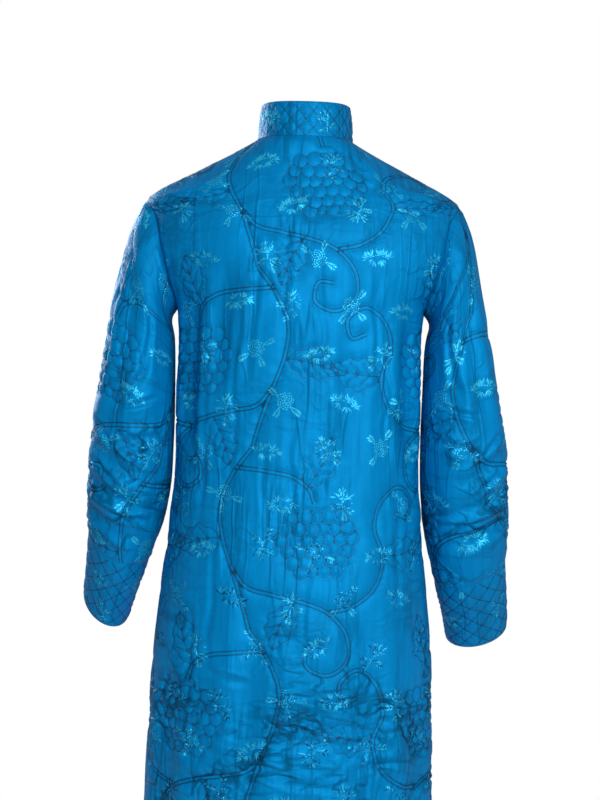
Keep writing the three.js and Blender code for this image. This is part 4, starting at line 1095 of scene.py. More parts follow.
def on_collar(s, t, height):
    """Lays flat places of the collar on its form, which leans in a little as it rises."""
    foot = collar_foot(s)
    rise = foot * (COLLAR_LEAN - 1, COLLAR_LEAN - 1, 0) + (0, 0, COLLAR_HEIGHT)
    normal = unit(np.cross(rise, collar_foot(s + 1) - collar_foot(s - 1)))
    up = (t / COLLAR_HEIGHT)[:, None]
    points = foot + rise * up + normal * height[:, None]
    points[:, 2] += SEAM_GAP * (1 - up[:, 0])
    points[:, 0] = side_of(s) * np.maximum(side_of(s) * points[:, 0], COLLAR_END)
    return points


def in_pocket(name, x):
    """Lays a pocket bag behind its front, its hidden edge just past the side seam."""
    def place(q, z, height):
        half = np.where(q >= 0, half_girth(-1, z), half_girth(1, z))
        s = x * (half - np.abs(q))
        fold = np.where(q > 0, bent_folds(name, s, z) * smooth((half - np.abs(s)) / FOLD_FADE), 0)
        sunk = STEP_IN + BAG_SUNK * smooth((q - 4) / 22) + fold
        front, back = skin(-1, s, z), skin(1, s, z)
        foot = np.where((q >= 0)[:, None], front, back)
        normal = np.where((q >= 0)[:, None], skin_normal(-1, s, z), skin_normal(1, s, z))
        return foot + normal * (height - sunk)[:, None]

    return place


# ---- quilted pieces ----
def quilted_heights(pattern, points, from_edge, cap, crush):
    """The outer face's height over its stitch lines, and how far it lies from a stitch line's painted shade,
    in mm.

    To the wadding's swell come puckers that run off the stitches, and two sizes of soft dents.
    """
    s, t = points[:, 0], points[:, 1]
    gap, along, faint = pattern.distance(points)
    settings = bpy.context.scene.coat_quilting
    uneven = 1 + SWELL_UNEVEN * wander(s / 60, t / 60, 3)
    swell = pattern.puff * uneven * (1 - np.exp(-gap / pattern.reach))
    full = pattern.domes(points)
    berry = settings.berry_puff / MM * np.clip(full, 0, 1) * (1 - np.exp(-gap / BERRY_REACH))
    height = np.where(full > 0, berry, swell)
    pucker = settings.pucker / MM * (0.5 + 2.2 * crush(s, t))
    pucker = pucker * wander(along / PUCKER_WIDE, gap / 40, 7)
    pucker = pucker * np.exp(-gap / PUCKER_REACH) * smooth(gap / 3)
    dents = sum(high * wander(s / wide, t / long, seed) for high, wide, long, seed in DENTS)
    height = height + np.where(full > 0, BERRY_PUCKER, 1.0) * pucker + dents * smooth(gap / 6)
    height = np.minimum(height * smooth(from_edge / EDGE_FLAT), cap(s, t))
    return np.maximum(height, DEEPEST), gap + faint


def quilted_piece(node, edge, place, pattern, cap, grid, crush):
    """cap(s, t) is the most that the cloth may swell at a place, crush(s, t) how creased it is, from 0 to 1.
    """
    outline = edge.points
    edge_tree = tree_of(outline)
    rows = [resample(run, STITCH)[0] for run in pattern.stitched]
    on_lines = np.vstack(rows + [resample(run, STITCH)[0] for run in pattern.raised] + [pattern.tops])
    on_lines = thin_out(on_lines[nearest(edge_tree, on_lines)[0] > LINE_CLEAR], LINE_GAP)
    field = hex_grid(outline, grid)
    field = field[nearest(tree_of(np.vstack([on_lines, outline])), field)[0] > GRID_CLEAR * grid]
    outer = np.vstack([on_lines, field])
    every = np.vstack([outline, outer])
    heights, gap = quilted_heights(pattern, every, nearest(edge_tree, every)[0], cap, crush)
    inner = hex_grid(outline, INNER_GRID)
    inner = inner[nearest(edge_tree, inner)[0] > INNER_GRID / 2]
    # stitch sets the satin's painted shade beside the stitch lines; crush sets its creases, which are also
    # painted in shade.
    values = {"stitch": np.minimum(gap, FAR), "crush": crush(every[:, 0], every[:, 1])}
    cloth = cloth_wall(node + "_cloth", edge, outer, inner, place, [satin(), lining()], heights, values)
    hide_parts(node)

    def raised_place(points, lift):
        level, _ = quilted_heights(pattern, points, nearest(edge_tree, points)[0], cap, crush)
        return place(points[:, 0], points[:, 1], level + lift)

    rows = [row[nearest(edge_tree, row)[0] > 1.0] for row in rows]
    added = [stitch_piece(node + "_stitches", [row for row in rows if len(row) > 1], raised_place),
             sprig_piece(node + "_sprigs", outline, REPEAT[node], raised_place)]
    declare_cut(outline)


def declare_cut(outline):
    """Works out the flat area, width and length that a piece is cut to; nothing uses them."""
    x, y = outline[:, 0], outline[:, 1]
    area = abs((x * np.roll(y, -1) - np.roll(x, -1) * y).sum()) / 2 * MM * MM
    wide, long = np.ptp(x) * MM, np.ptp(y) * MM


def stitch_piece(name, rows, raised_place):
    """Short threads along the stitch lines, each a low ridge whose pointed ends run under its neighbours."""
    starts = np.vstack([row[:-1] for row in rows])
    ends = np.vstack([row[1:] for row in rows])
    along = ends - starts
    side = beside_line(along) * THREAD_HALF
    middle = (starts + ends) / 2
    count = len(starts)
    flat = np.vstack([starts - 0.2 * along, ends + 0.2 * along, middle + side, middle - side, middle])
    level = np.concatenate([np.zeros(4 * count), np.full(count, THREAD_HIGH)])
    points = raised_place(flat, level + LIFT)
    a, b, left, right, top = (np.arange(count) + k * count for k in range(5))
    faces = np.vstack([triangles(a, top, left), triangles(a, right, top),
                       triangles(b, left, top), triangles(b, top, right)])
    faces = facing_out(points, flat, faces, raised_place)
    return mesh_piece(name, points, faces, [thread()], flat[faces.ravel()])


def facing_out(points, flat, faces, raised_place):
    """Turns small open faces so that they look away from the cloth they lie on."""
    corners = points[faces]
    normal = np.cross(corners[:, 1] - corners[:, 0], corners[:, 2] - corners[:, 0])
    middle = flat[faces].mean(1)
    outward = raised_place(middle, np.full(len(middle), 3.0)) - raised_place(middle, np.zeros(len(middle)))
    inward = (normal * outward).sum(1) < 0
    faces[inward] = faces[inward][:, ::-1]
    return faces


# ---- woven sprigs ----
# Each stroke is a start, an end and a half width.
GOLDEN_TURN = 2.399963  # in radians, so that strokes that follow each other pack evenly


def fan(x, y, degrees, spread, count, near, far, half, seed):
    """Strokes that spread from a point."""
    strokes = []
    for i in range(count):
        r = rand(seed + i, np.array([1.0, 2.0, 3.0]))
        turn = math.radians(degrees + spread * ((i + 0.5) / count - 0.5)) + 0.5 * (r[0] - 0.5)
        length = far * (0.6 + 0.5 * r[1])
        dx, dy = math.cos(turn), math.sin(turn)
        start = near * (0.7 + 0.6 * r[2])
        strokes.append((x + start * dx, y + start * dy, x + length * dx, y + length * dy, half))
    return strokes


def leaf_strokes(x, y, degrees, length, seed):
    """A leaf as slanting strokes along a spine."""
    a = math.radians(degrees)
    strokes = []
    for i in range(7):
        u = length * (i + 0.3) / 7
        spread = 4.6 * math.sin(math.pi * (i + 1) / 9) + 0.8
        x0, y0 = x + u * math.cos(a), y + u * math.sin(a)
        for sign in (-1, 1):
            lean = a + sign * (0.7 + 0.3 * float(rand(seed, i)))
            strokes.append((x0, y0, x0 + spread * math.cos(lean), y0 + spread * math.sin(lean), 0.55))
    return strokes


def flower_strokes(seed):
    """A flower seen from the side: three rows of petals over a cup, a stem and three leaves."""
    strokes = fan(0, 0, 90, 190, 17, 8, 15, 0.7, seed) + fan(0, 0, 90, 160, 13, 4, 10, 0.7, seed + 20)
    strokes += fan(0, -1, 90, 150, 8, 0.5, 6, 0.6, seed + 40) + fan(0, -1, 270, 60, 4, 0, 4, 0.6, seed + 60)
    for k in range(6):
        strokes.append((0.6 * k - 0.6, -2.2 * k - 2, 0.7 * k - 0.2, -2.2 * k - 4.8, 0.55))
    strokes += leaf_strokes(1.5, -8, -22, 13, seed) + leaf_strokes(0, -6, 203, 12, seed + 5)
    return strokes + leaf_strokes(3, -14, -70, 9, seed + 9)


def needle_strokes(seed):
    """A twig with fans of needles."""
    strokes = []
    for k in range(9):
        x, y = 2.9 * k - 13, 3.4 * math.sin(k / 2.4) - 2
        strokes.append((x, y, x + 3.1, y + 1.1, 0.6))
    for i, (x, y, up) in enumerate(((-12, -1, 100), (-6, 2, 70), (1, 2.5, 110), (8, 0, 60), (13, -2, 20),
                                    (-3, -3, 250), (6, -3, 290))):
        strokes += fan(x, y, up, 120, 9, 0.5, 9, 0.55, seed + 12 * i)
    return strokes


def blossom_strokes(seed):
    """A round blossom of short packed strokes with three leaves."""
    strokes = []
    for i in range(46):
        turn, out = GOLDEN_TURN * i, 1.5 * math.sqrt(i)
        x, y = out * math.cos(turn), out * math.sin(turn)
        tilt = turn + 0.8 + float(rand(seed, i))
        dx, dy = 1.5 * math.cos(tilt), 1.5 * math.sin(tilt)
        strokes.append((x - dx, y - dy, x + dx, y + dy, 0.66))
    strokes += leaf_strokes(8, -6, -30, 13, seed) + leaf_strokes(-9, 4, 150, 12, seed + 2)
    return strokes + leaf_strokes(-4, -9, 250, 11, seed + 4)


SPRIGS = (flower_strokes, needle_strokes, blossom_strokes)


def sprig_at(i, j, repeat):
    """One sprig's strokes on the cloth, and how light each stroke's painted sheen is."""
    r = [float(rand(i + 0.5 * k, j + 1.7 * k)) for k in range(5)]
    across = repeat[0] + (i + 0.5 * (j % 2)) * SPRIG_STEP + 16 * (r[0] - 0.5)
    up = repeat[1] + j * SPRIG_STEP * SPRIG_ROW_SHARE + 14 * (r[1] - 0.5) + 24
    turn = 1.1 * (r[2] - 0.5) + (math.pi if (i + j) % 5 == 3 else 0)
    strokes = np.array(SPRIGS[(i + 2 * j) % 3](i * 13.0 + j * 7.0))
    strokes[:, [0, 2]] *= -1 if r[3] > 0.5 else 1
    c, s = math.cos(turn), math.sin(turn)
    spin = SPRIG_SIZE * np.array([[c, s], [-s, c]])
    starts, ends = strokes[:, 0:2] @ spin + (across, up), strokes[:, 2:4] @ spin + (across, up)
    # Painted sheen: each sprig catches more or less light at random, and the higher ones more.
    mean = 0.22 + 0.4 * r[4] + 0.28 * smooth((up + 620) / 240)
    light = np.clip(mean + 0.7 * (rand(starts[:, 0], ends[:, 1]) - 0.5), 0, 1)
    return starts, ends, STROKE_WIDEN * strokes[:, 4:5], light[:, None]


def sprig_piece(name, outline, repeat, raised_place):
    """The sprigs woven into the satin: flat glossy strokes, each sprig's painted sheen a little lighter or
    darker.
    """
    (x0, y0), (x1, y1) = outline.min(0), outline.max(0)
    low, high = (y0 - repeat[1]) / SPRIG_ROW_SHARE, (y1 - repeat[1]) / SPRIG_ROW_SHARE
    rows = steps_over(low, high, SPRIG_STEP, 0)
    columns = steps_over(x0 - repeat[0], x1 - repeat[0], SPRIG_STEP, 1)
    made = [sprig_at(i, j, repeat) for j in rows for i in columns]
    starts, ends, widths, light = (np.vstack(part) for part in zip(*made))
    keep = inside(outline, starts) & inside(outline, ends)
    keep &= nearest(tree_of(outline), (starts + ends) / 2)[0] > 6
    starts, ends, widths, light = starts[keep], ends[keep], widths[keep], light[keep, 0]
    count = len(starts)
    side = beside_line(ends - starts) * widths
    middle = starts + 0.55 * (ends - starts)
    flat = np.vstack([starts, ends, middle + side, middle - side])
    points = raised_place(flat, np.full(len(flat), LIFT))
    a, b, left, right = (np.arange(count) + k * count for k in range(4))
    faces = np.vstack([triangles(a, right, left), triangles(b, left, right)])
    faces = facing_out(points, flat, faces, raised_place)
    painted_sheen = {"light": np.tile(light, 4)}
    return mesh_piece(name, points, faces, [sprig_silk()], flat[faces.ravel()], values=painted_sheen)


# ---- the coat's pieces ----
CREASED_BELOW, CREASED_FADE = 640, 150
ELBOW_T, ELBOW_HALF = -310, 90


def everywhere(s):
    return np.ones(len(s), bool)


def body_crush(s, t):
    """The skirt has crept up in creases, from an uneven line downward; the upper body hangs smoother."""
    side = 0.3 * smooth((np.abs(s) - 110) / 60)
    low = 0.85 * smooth((60 * wander(s / 60, t / 110, 13) - t - CREASED_BELOW) / CREASED_FADE)
    return np.clip(0.15 + side + low + 0.2 * wander(s / 70, t / 90, 31), 0, 1)


def sleeve_crush(s, t):
    """Creased at the elbow and above the cuff."""
    elbow = np.exp(-((t - ELBOW_T) / ELBOW_HALF) ** 2)
    return np.clip(0.3 + 0.8 * elbow + 0.2 * wander(s / 50, t / 60, 33), 0, 1)


def firm(s, t):
    """Hardly creased anywhere."""
    return np.full(len(s), 0.12)


def no_cap(s, t):
    """Free to swell everywhere."""
    return np.full(len(s), FAR)


def make_back():
    edge = back_edge()
    pattern = Pattern(edge.points, REPEAT["back"], everywhere)
    place = on_panel(1, "back")
    quilted_piece("back", edge, place, pattern, near_arm, OUTER_GRID["back"], body_crush)


def make_front(name, x):
    node = "front_" + name
    edge = front_edge(x)

    def allowed(s):
        return x * s > QUILTED_FROM

    def cap(s, z):
        return np.minimum(frog_band(s, z, FROG_REACH[name]), near_arm(s, z))

    pattern = Pattern(edge.points, REPEAT[node], allowed)
    place = on_panel(-1, name, front_extra(x))
    quilted_piece(node, edge, place, pattern, cap, OUTER_GRID["front"], body_crush)


def make_sleeve(arm, x):
    node = "sleeve_" + arm
    edge = sleeve_edge(arm, x)
    pattern = Pattern(edge.points, REPEAT[node], everywhere)
    place, grid = on_sleeve(arm, x), OUTER_GRID["sleeve"]
    quilted_piece(node, edge, place, pattern, sleeve_cap, grid, sleeve_crush)


def make_cuff(arm, x):
    edge = cuff_edge(arm)
    (left, bottom), (right, top) = edge.points.min(0), edge.points.max(0)
    across, down = (right - left) / CUFF_COLUMNS, (top - bottom) / CUFF_TIERS
    pattern = Diamonds(edge.points, (left, top), across, down, CUFF_COLUMNS, CUFF_TIERS)
    place = on_sleeve(arm, x)
    quilted_piece("cuff_" + arm, edge, place, pattern, no_cap, OUTER_GRID["cuff"], firm)


def make_collar():
    edge = collar_edge()
    corner, down = (-COLLAR_REACH, COLLAR_HEIGHT), COLLAR_HEIGHT / COLLAR_TIERS
    pattern = Diamonds(edge.points, corner, COLLAR_PITCH, down, 4 * COLLAR_STEPS, COLLAR_TIERS)
    quilted_piece("collar", edge, on_collar, pattern, no_cap, OUTER_GRID["collar"], firm)


def make_pocket(name, x):
    edge = bag_edge()
    edge_tree = tree_of(edge.points)
    field = hex_grid(edge.points, BAG_GRID)
    field = field[nearest(edge_tree, field)[0] > 3]
    every = np.vstack([edge.points, field])
    soft = 0.5 * wander(every[:, 0] / 22, every[:, 1] / 30, 2) * smooth(nearest(edge_tree, every)[0] / 12)
    both = [pocket_cloth(), pocket_cloth()]
    place = in_pocket(name, x)
    bag = cloth_wall(f"pocket_{name}_bag", edge, field, field, place, both, soft, {}, BAG_WALL)
    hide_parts("pocket_" + name)
    declare_cut(edge.points)


# ---- frog closures ----
def round_cord(name, node, path, sizes):
    """A cord along a path, its radius read from sizes, with blunt points at its ends."""
    line = curve_through(path)
    share = np.linspace(0, 1, len(line))
    radius = np.interp(share, np.linspace(0, 1, len(sizes)), sizes)
    both, along = resample(np.column_stack([line, radius]), 1.1)
    line, radius = both[:, :3], both[:, 3]
    direction = unit(np.gradient(line, axis=0))
    up = np.array([0.0, -1.0, 0.0])
    frames = []
    for d in direction:
        up = unit(up - (up * d).sum() * d)
        frames.append((up, np.cross(d, up)))
    sides = CORD_SIDES
    turn = np.arange(sides) * 2 * math.pi / sides
    rings = np.array([p + r * (np.cos(turn)[:, None] * u + np.sin(turn)[:, None] * v)
                      for p, r, (u, v) in zip(line, radius, frames)])
    ends = np.array([line[0] - 0.5 * radius[0] * direction[0], line[-1] + 0.5 * radius[-1] * direction[-1]])
    points = np.vstack([rings.reshape(-1, 3), ends])
    count = len(line)
    i, k = np.meshgrid(np.arange(count - 1), np.arange(sides), indexing="ij")
    a, b = (i * sides + k).ravel(), (i * sides + (k + 1) % sides).ravel()
    k = np.arange(sides)
    first, last = np.full(sides, count * sides), np.full(sides, count * sides + 1)
    tail = (count - 1) * sides
    faces = np.vstack([
        triangles(a, b, b + sides), triangles(a, b + sides, a + sides),
        triangles(first, (k + 1) % sides, k), triangles(last, tail + k, tail + (k + 1) % sides),
    ])
    if volume(points, faces) < 0:
        faces = faces[:, ::-1]
    flat = np.column_stack([np.repeat(along, sides), np.tile(turn * FROG_CORD, count)])
    flat = np.vstack([flat, [along[0], 0], [along[-1], 0]])
    piece = mesh_piece(name, points, faces, [cord_silk()], flat[faces.ravel()])
    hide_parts(node)


def on_frog(level):
    """Places on the fronts for a frog closure: across, up, and above the cloth."""
    def lay(s, up, height):
        s, z = np.array([float(s)]), np.array([level + up])
        return (skin(-1, s, z) + skin_normal(-1, s, z) * (height + FROG_CORD + 0.75))[0]

    return lay


def make_frog(number, level):
    """A loop round a ball of cord, each on a bar of doubled cord; the ball's table is across and radius."""
    lay = on_frog(level)
    gap, seat = 2.4, FROG_SEAT  # half the way between a bar's two cords, and the ball's place
    far, near = seat - 6 - FROG_BAR, seat - 14
    bar = np.linspace(far, near, 4)
    eye_radius = 6.4
    eye = [lay(seat + eye_radius * math.cos(math.radians(a)), eye_radius * math.sin(math.radians(a)), 0)
           for a in (125, 90, 50, 10, -30, -70, -110, -140)]
    loop = [lay(s, gap, 0) for s in bar] + eye + [lay(s, -gap, 0) for s in bar[::-1]]
    round_cord(f"frog_{number}_loop_cord", f"frog_{number}_loop", loop, [FROG_CORD, FROG_CORD])
    end = seat + 6 + FROG_BAR
    out, back = np.linspace(seat + 17, end, 4), np.linspace(end, seat + 20, 4)
    ball = ((-4.4, 1.2), (-3.2, 3.3), (0, FROG_KNOT), (3.2, 3.3), (4.6, 1.7), (9.6, 1.7))
    knot = [lay(seat + u, 0, 4.3) for u, _ in ball] + [lay(seat + 13.5, 0.8, 1.6)]
    knot += [lay(s, gap, 0) for s in out] + [lay(end + 2.6, 0, 0)] + [lay(s, -gap, 0) for s in back]
    sizes = [r for _, r in ball] + [FROG_CORD] * (len(knot) - len(ball))
    round_cord(f"frog_{number}_knot_cord", f"frog_{number}_knot", knot, sizes)


# ---- materials ----
class Surface:
    """A material and short ways to add nodes to it."""

    def __init__(self, name):
        self.material = bpy.data.materials.new(name)
        self.material.use_nodes = True
        self.tree = self.material.node_tree
        self.shader = self.tree.nodes["Principled BSDF"]
        self.place = self.add("ShaderNodeUVMap", uv_map="cloth").outputs[0]

    def add(self, kind, inputs=None, **settings):
        node = self.tree.nodes.new(kind)
        for key, value in settings.items():
            setattr(node, key, value)
        for key, value in (inputs or {}).items():
            self.put(node.inputs[key], value)
        return node

    def put(self, socket, value):
        if isinstance(value, bpy.types.NodeSocket):
            self.tree.links.new(value, socket)
        else:
            socket.default_value = value

    def noise(self, scale, detail=2.0, shift=0.0):
        """Noise over the flat cloth, scale lumps to a metre across and along it."""
        moved = {"Vector": self.place, "Location": (shift, shift, 0), "Scale": (*scale, 1)}
        where = self.add("ShaderNodeMapping", moved).outputs[0]
        lumps = {"Vector": where, "Scale": 1.0, "Detail": detail, "Roughness": 0.5}
        return self.add("ShaderNodeTexNoise", lumps, noise_dimensions="2D").outputs[0]

    def waves(self, scale, direction):
        bands = {"Vector": self.place, "Scale": scale, "Distortion": 0.0}
        return self.add("ShaderNodeTexWave", bands, bands_direction=direction).outputs["Fac"]

    def ranged(self, value, low, high, new_low=0.0, new_high=1.0, easing="LINEAR"):
        """The value moved from one range to another, and kept within it."""
        ends = {"Value": value, "From Min": low, "From Max": high, "To Min": new_low, "To Max": new_high}
        return self.add("ShaderNodeMapRange", ends, interpolation_type=easing).outputs[0]

    def spread(self, noise, low=0.0, high=1.0):
        """Noise, most of which lies between 0.3 and 0.7, moved to another range."""
        return self.ranged(noise, 0.3, 0.7, low, high)

    def math(self, operation, a, b):
        return self.add("ShaderNodeMath", {0: a, 1: b}, operation=operation).outputs[0]

    def weave(self, warp, weft, height, strength):
        """The bump of crossed threads, from how many waves they make to a metre."""
        crossed = self.math("ADD", self.waves(warp, "X"), self.waves(weft, "Y"))
        return self.bump(crossed, height, strength)

    def attribute(self, name):
        return self.add("ShaderNodeAttribute", attribute_name=name).outputs["Fac"]

    def creases(self, scale, width, shift):
        """Crisp creases that wander over the cloth and fade in and out, from 0 to 1."""
        gap = self.math("ABSOLUTE", self.math("SUBTRACT", self.noise(scale, 1.6, shift), 0.5), 0.0)
        line = self.ranged(gap, 0.0, width, 1.0, 0.0, "SMOOTHSTEP")
        here = self.ranged(self.noise((0.4 * scale[0], 0.4 * scale[1]), 1.0, shift + 4.4), 0.42, 0.62)
        return self.math("MULTIPLY", line, here)

    def times(self, colour, value):
        """A colour made darker by a number that varies over the cloth."""
        grey = self.add("ShaderNodeCombineColor", {0: value, 1: value, 2: value}).outputs[0]
        factor, first, second = 0, 6, 7  # a Mix node's colour sockets come after those of its other kinds
        inputs = {factor: 1.0, first: colour, second: grey}
        return self.add("ShaderNodeMix", inputs, data_type="RGBA", blend_type="MULTIPLY").outputs[2]

    def ramp(self, value, *stops):
        """A colour read from stops of place and colour."""
        node = self.add("ShaderNodeValToRGB", {"Fac": value})
        points = node.color_ramp.elements
        while len(points) < len(stops):
            points.new(0.5)
        for point, (place, colour) in zip(points, stops):
            point.position = place
            point.color = (*colour, 1.0)
        return node.outputs[0]

    def bump(self, height, distance, strength=1.0, normal=None):
        inputs = {"Height": height, "Distance": distance, "Strength": strength}
        if normal is not None:
            inputs["Normal"] = normal
        return self.add("ShaderNodeBump", inputs).outputs[0]

    def finish(self, **inputs):
        """Sets the shader's inputs, with _ for the blanks in their names."""
        for key, value in inputs.items():
            self.put(self.shader.inputs[key.replace("_", " ")], value)
        return self.material


def once(make):
    """Keeps a material, so that pieces share it."""
    name = make.__name__.replace("_", " ")

    def kept():
        return bpy.data.materials.get(name) or make(name)

    return kept


def chosen(name):
    """One of the colours of the panel."""
    return tuple(getattr(bpy.context.scene.coat_colours, name))


def shade_of(colour, share):
    """A colour made darker or lighter."""
    return tuple(share * c for c in colour[:3])


@once
def satin(name):
    """Silk satin: soft sheen, crisp creases, fine crossed threads, and shade painted along stitches and
    creases.
    """
    s = Surface(name)
    main = chosen("satin")
    stitch, crush = s.attribute("stitch"), s.attribute("crush")
    clouds, slub = s.noise((16, 9), 2.0, 3.7), s.noise((3000, 240), 2.0, 1.3)
    streaks = s.noise((150, 12), 3.0, 6.1)
    tone = s.math("ADD", s.spread(clouds, 0.0, 0.5), s.spread(streaks, 0.0, 0.5))
    ground = s.ramp(tone, (0.0, shade_of(main, 0.8)), (1.0, shade_of(main, 1.03)))
    level = s.creases((14, 44), 0.11, 2.0)
    slant = s.creases((30, 34), 0.09, 9.0)
    upright = s.creases((50, 8), 0.1, 5.0)
    pulled = s.math("MULTIPLY", crush, s.ranged(stitch, 1.0, FAR, 1.15, 0.7))
    wrinkles = s.math("ADD", s.math("MULTIPLY", s.math("MAXIMUM", level, slant), pulled),
                      s.math("MULTIPLY", upright, 0.34))
    # Painted shade: the satin's colour darkens beside the stitch lines, where the cloth dips into them.
    painted_stitch_shade = s.ranged(stitch, 0.2, 1.4, 0.34, 1.0)
    # Painted shade: the creases darken the satin's colour as well as bending its surface.
    shade = s.math("MULTIPLY", painted_stitch_shade, s.ranged(wrinkles, 0.0, 1.0, 1.0, 0.44))
    weave = s.weave(900.0, 650.0, 0.00004, 0.5)
    soft = s.bump(s.noise((70, 40), 2.0, 8.1), 0.0006, 0.5, weave)
    crisp = s.bump(wrinkles, 0.003, 0.85, soft)
    rough = s.spread(slub, 0.42, 0.52)
    return s.finish(Base_Color=s.times(ground, shade), Metallic=0.18, Specular_IOR_Level=0.3,
                    Specular_Tint=(0.1, 0.7, 1.0, 1.0), Roughness=rough, Normal=crisp)


@once
def lining(name):
    """Plain weave with soft wrinkles."""
    s = Surface(name)
    main = chosen("lining")
    clouds = s.noise((40, 12), 3.0, 2.2)
    base = s.ramp(s.spread(clouds), (0.0, shade_of(main, 0.7)), (1.0, main))
    weave = s.weave(700.0, 700.0, 0.00005, 0.6)
    wrinkles = s.bump(s.noise((60, 30), 3.0, 6.0), 0.0015, 0.6, weave)
    rough = s.spread(clouds, 0.4, 0.55)
    return s.finish(Base_Color=base, Metallic=0.2, Roughness=rough, Normal=wrinkles)


@once
def thread(name):
    """Twisted sewing thread, its dark colour matched to the painted shade beside the stitches."""
    s = Surface(name)
    main = chosen("thread")
    lay = s.noise((900, 900), 2.0, 4.0)
    base = s.ramp(s.spread(lay), (0.0, shade_of(main, 0.6)), (1.0, main))
    twist = s.bump(s.noise((3000, 3000), 1.0), 0.0001, 0.6)
    return s.finish(Base_Color=base, Metallic=0.2, Roughness=s.spread(lay, 0.4, 0.6), Normal=twist)


@once
def sprig_silk(name):
    """Floated silk: glossier than the ground, light where it catches the light and dark where it doesn't."""
    s = Surface(name)
    floats = s.noise((1500, 500), 2.0, 2.9)
    light = s.math("ADD", s.attribute("light"), s.spread(floats, -0.2, 0.2))
    base = s.ramp(light, (0.08, chosen("sprig_dark")), (0.3, chosen("satin")), (0.85, chosen("sprig_light")))
    ribs = s.bump(s.waves(1100.0, "DIAGONAL"), 0.00005, 0.6)
    return s.finish(Base_Color=base, Metallic=0.35, Specular_Tint=(0.2, 0.8, 1.0, 1.0),
                    Roughness=s.spread(floats, 0.28, 0.42), Normal=ribs)


@once
def pocket_cloth(name):
    """Dull dark cotton."""
    s = Surface(name)
    main = chosen("pocket")
    clouds = s.noise((50, 20), 3.0, 9.0)
    base = s.ramp(s.spread(clouds), (0.0, shade_of(main, 0.6)), (1.0, main))
    weave = s.weave(500.0, 500.0, 0.0001, 0.6)
    return s.finish(Base_Color=base, Roughness=s.spread(clouds, 0.6, 0.8), Normal=weave)


@once
def cord_silk(name):
    """Bias-cut satin rolled into cord, its folds running slantwise round it, their shade painted."""
    s = Surface(name)
    main = chosen("satin")
    folds = s.waves(190.0, "DIAGONAL")
    clouds = s.noise((300, 300), 2.0, 7.0)
    # Painted shade: the folds darken the cord's colour, over clouds of random tone.
    tone = s.math("ADD", s.ranged(folds, 0.0, 1.0, 0.0, 0.6), s.spread(clouds, 0.0, 0.4))
    base = s.ramp(tone, (0.0, shade_of(main, 0.4)), (1.0, main))
    return s.finish(Base_Color=base, Metallic=0.4, Roughness=s.spread(clouds, 0.34, 0.48),
                    Normal=s.bump(folds, 0.0006, 0.7))


# ---- settings, operators and panel ----
def height_of(name, description, default, most):
    return FloatProperty(name=name, description=description, default=default, min=0, max=most, unit="LENGTH")


def colour_of(name, description, default):
    return FloatVectorProperty(name=name, description=description, default=default, subtype="COLOR", size=3)


class CoatQuilting(bpy.types.PropertyGroup):
    puff: height_of("Puff", "How far the wadding swells between stitch lines", 0.0030, 0.006)
    berry_puff: height_of("Berry puff", "How far a stitched berry swells", 0.0022, 0.006)
    diamond_puff: height_of("Diamond puff", "How far cuffs and collar swell", 0.0014, 0.004)
    pucker: height_of("Pucker", "Height of the small creases that start at the stitches", 0.0008, 0.002)


class CoatColours(bpy.types.PropertyGroup):
    satin: colour_of("Satin", "Colour of the satin", (0.0, 0.26, 0.62))
    sprig_light: colour_of("Light sprigs", "Colour of the sprigs that catch the light", (0.04, 0.6, 0.9))
    sprig_dark: colour_of("Dark sprigs", "Colour of the sprigs in shade", (0.0, 0.03, 0.12))
    thread: colour_of("Thread", "Colour of the sewing thread", (0.0, 0.06, 0.18))
    lining: colour_of("Lining", "Colour of the inner face", (0.0, 0.07, 0.2))
    pocket: colour_of("Pocket cloth", "Colour of the pocket bags", (0.006, 0.01, 0.05))


class COAT_OT_back(bpy.types.Operator):
    """Makes the quilted back"""
    bl_idname = "coat.make_back"
    bl_label = "Back"

    def execute(self, context):
        make_back()
        return {"FINISHED"}


class COAT_OT_fronts(bpy.types.Operator):
    """Makes the left front and the right front that laps over it"""
    bl_idname = "coat.make_fronts"
    bl_label = "Fronts"

    def execute(self, context):
        make_front("left", 1)
        make_front("right", -1)
        return {"FINISHED"}


class COAT_OT_sleeves(bpy.types.Operator):
    """Makes both quilted sleeves"""
    bl_idname = "coat.make_sleeves"
    bl_label = "Sleeves"

    def execute(self, context):
        make_sleeve("left", 1)
        make_sleeve("right", -1)
        return {"FINISHED"}


class COAT_OT_cuffs(bpy.types.Operator):
    """Makes both diamond stitched cuffs"""
    bl_idname = "coat.make_cuffs"
    bl_label = "Cuffs"

    def execute(self, context):
        make_cuff("left", 1)
        make_cuff("right", -1)
        return {"FINISHED"}


class COAT_OT_collar(bpy.types.Operator):
    """Makes the diamond stitched stand collar"""
    bl_idname = "coat.make_collar"
    bl_label = "Collar"

    def execute(self, context):
        make_collar()
        return {"FINISHED"}


class COAT_OT_pockets(bpy.types.Operator):
    """Makes the pocket bags behind the fronts"""
    bl_idname = "coat.make_pockets"
    bl_label = "Pockets"

    def execute(self, context):
        make_pocket("left", 1)
        make_pocket("right", -1)
        return {"FINISHED"}


class COAT_OT_frogs(bpy.types.Operator):
    """Makes the frog closures down the centre front"""
    bl_idname = "coat.make_frogs"
    bl_label = "Frog closures"

    def execute(self, context):
        for number, level in enumerate(FROG_LEVELS, 1):
            make_frog(number, level)
        return {"FINISHED"}


class COAT_OT_stage(bpy.types.Operator):
    """Sets the floor, lights and camera"""
    bl_idname = "coat.set_stage"
    bl_label = "Stage"

    def execute(self, context):
        make_floor()
        make_lights()
        make_camera()
        return {"FINISHED"}


MAKERS = (COAT_OT_back, COAT_OT_fronts, COAT_OT_sleeves, COAT_OT_cuffs, COAT_OT_collar, COAT_OT_pockets,
          COAT_OT_frogs, COAT_OT_stage)


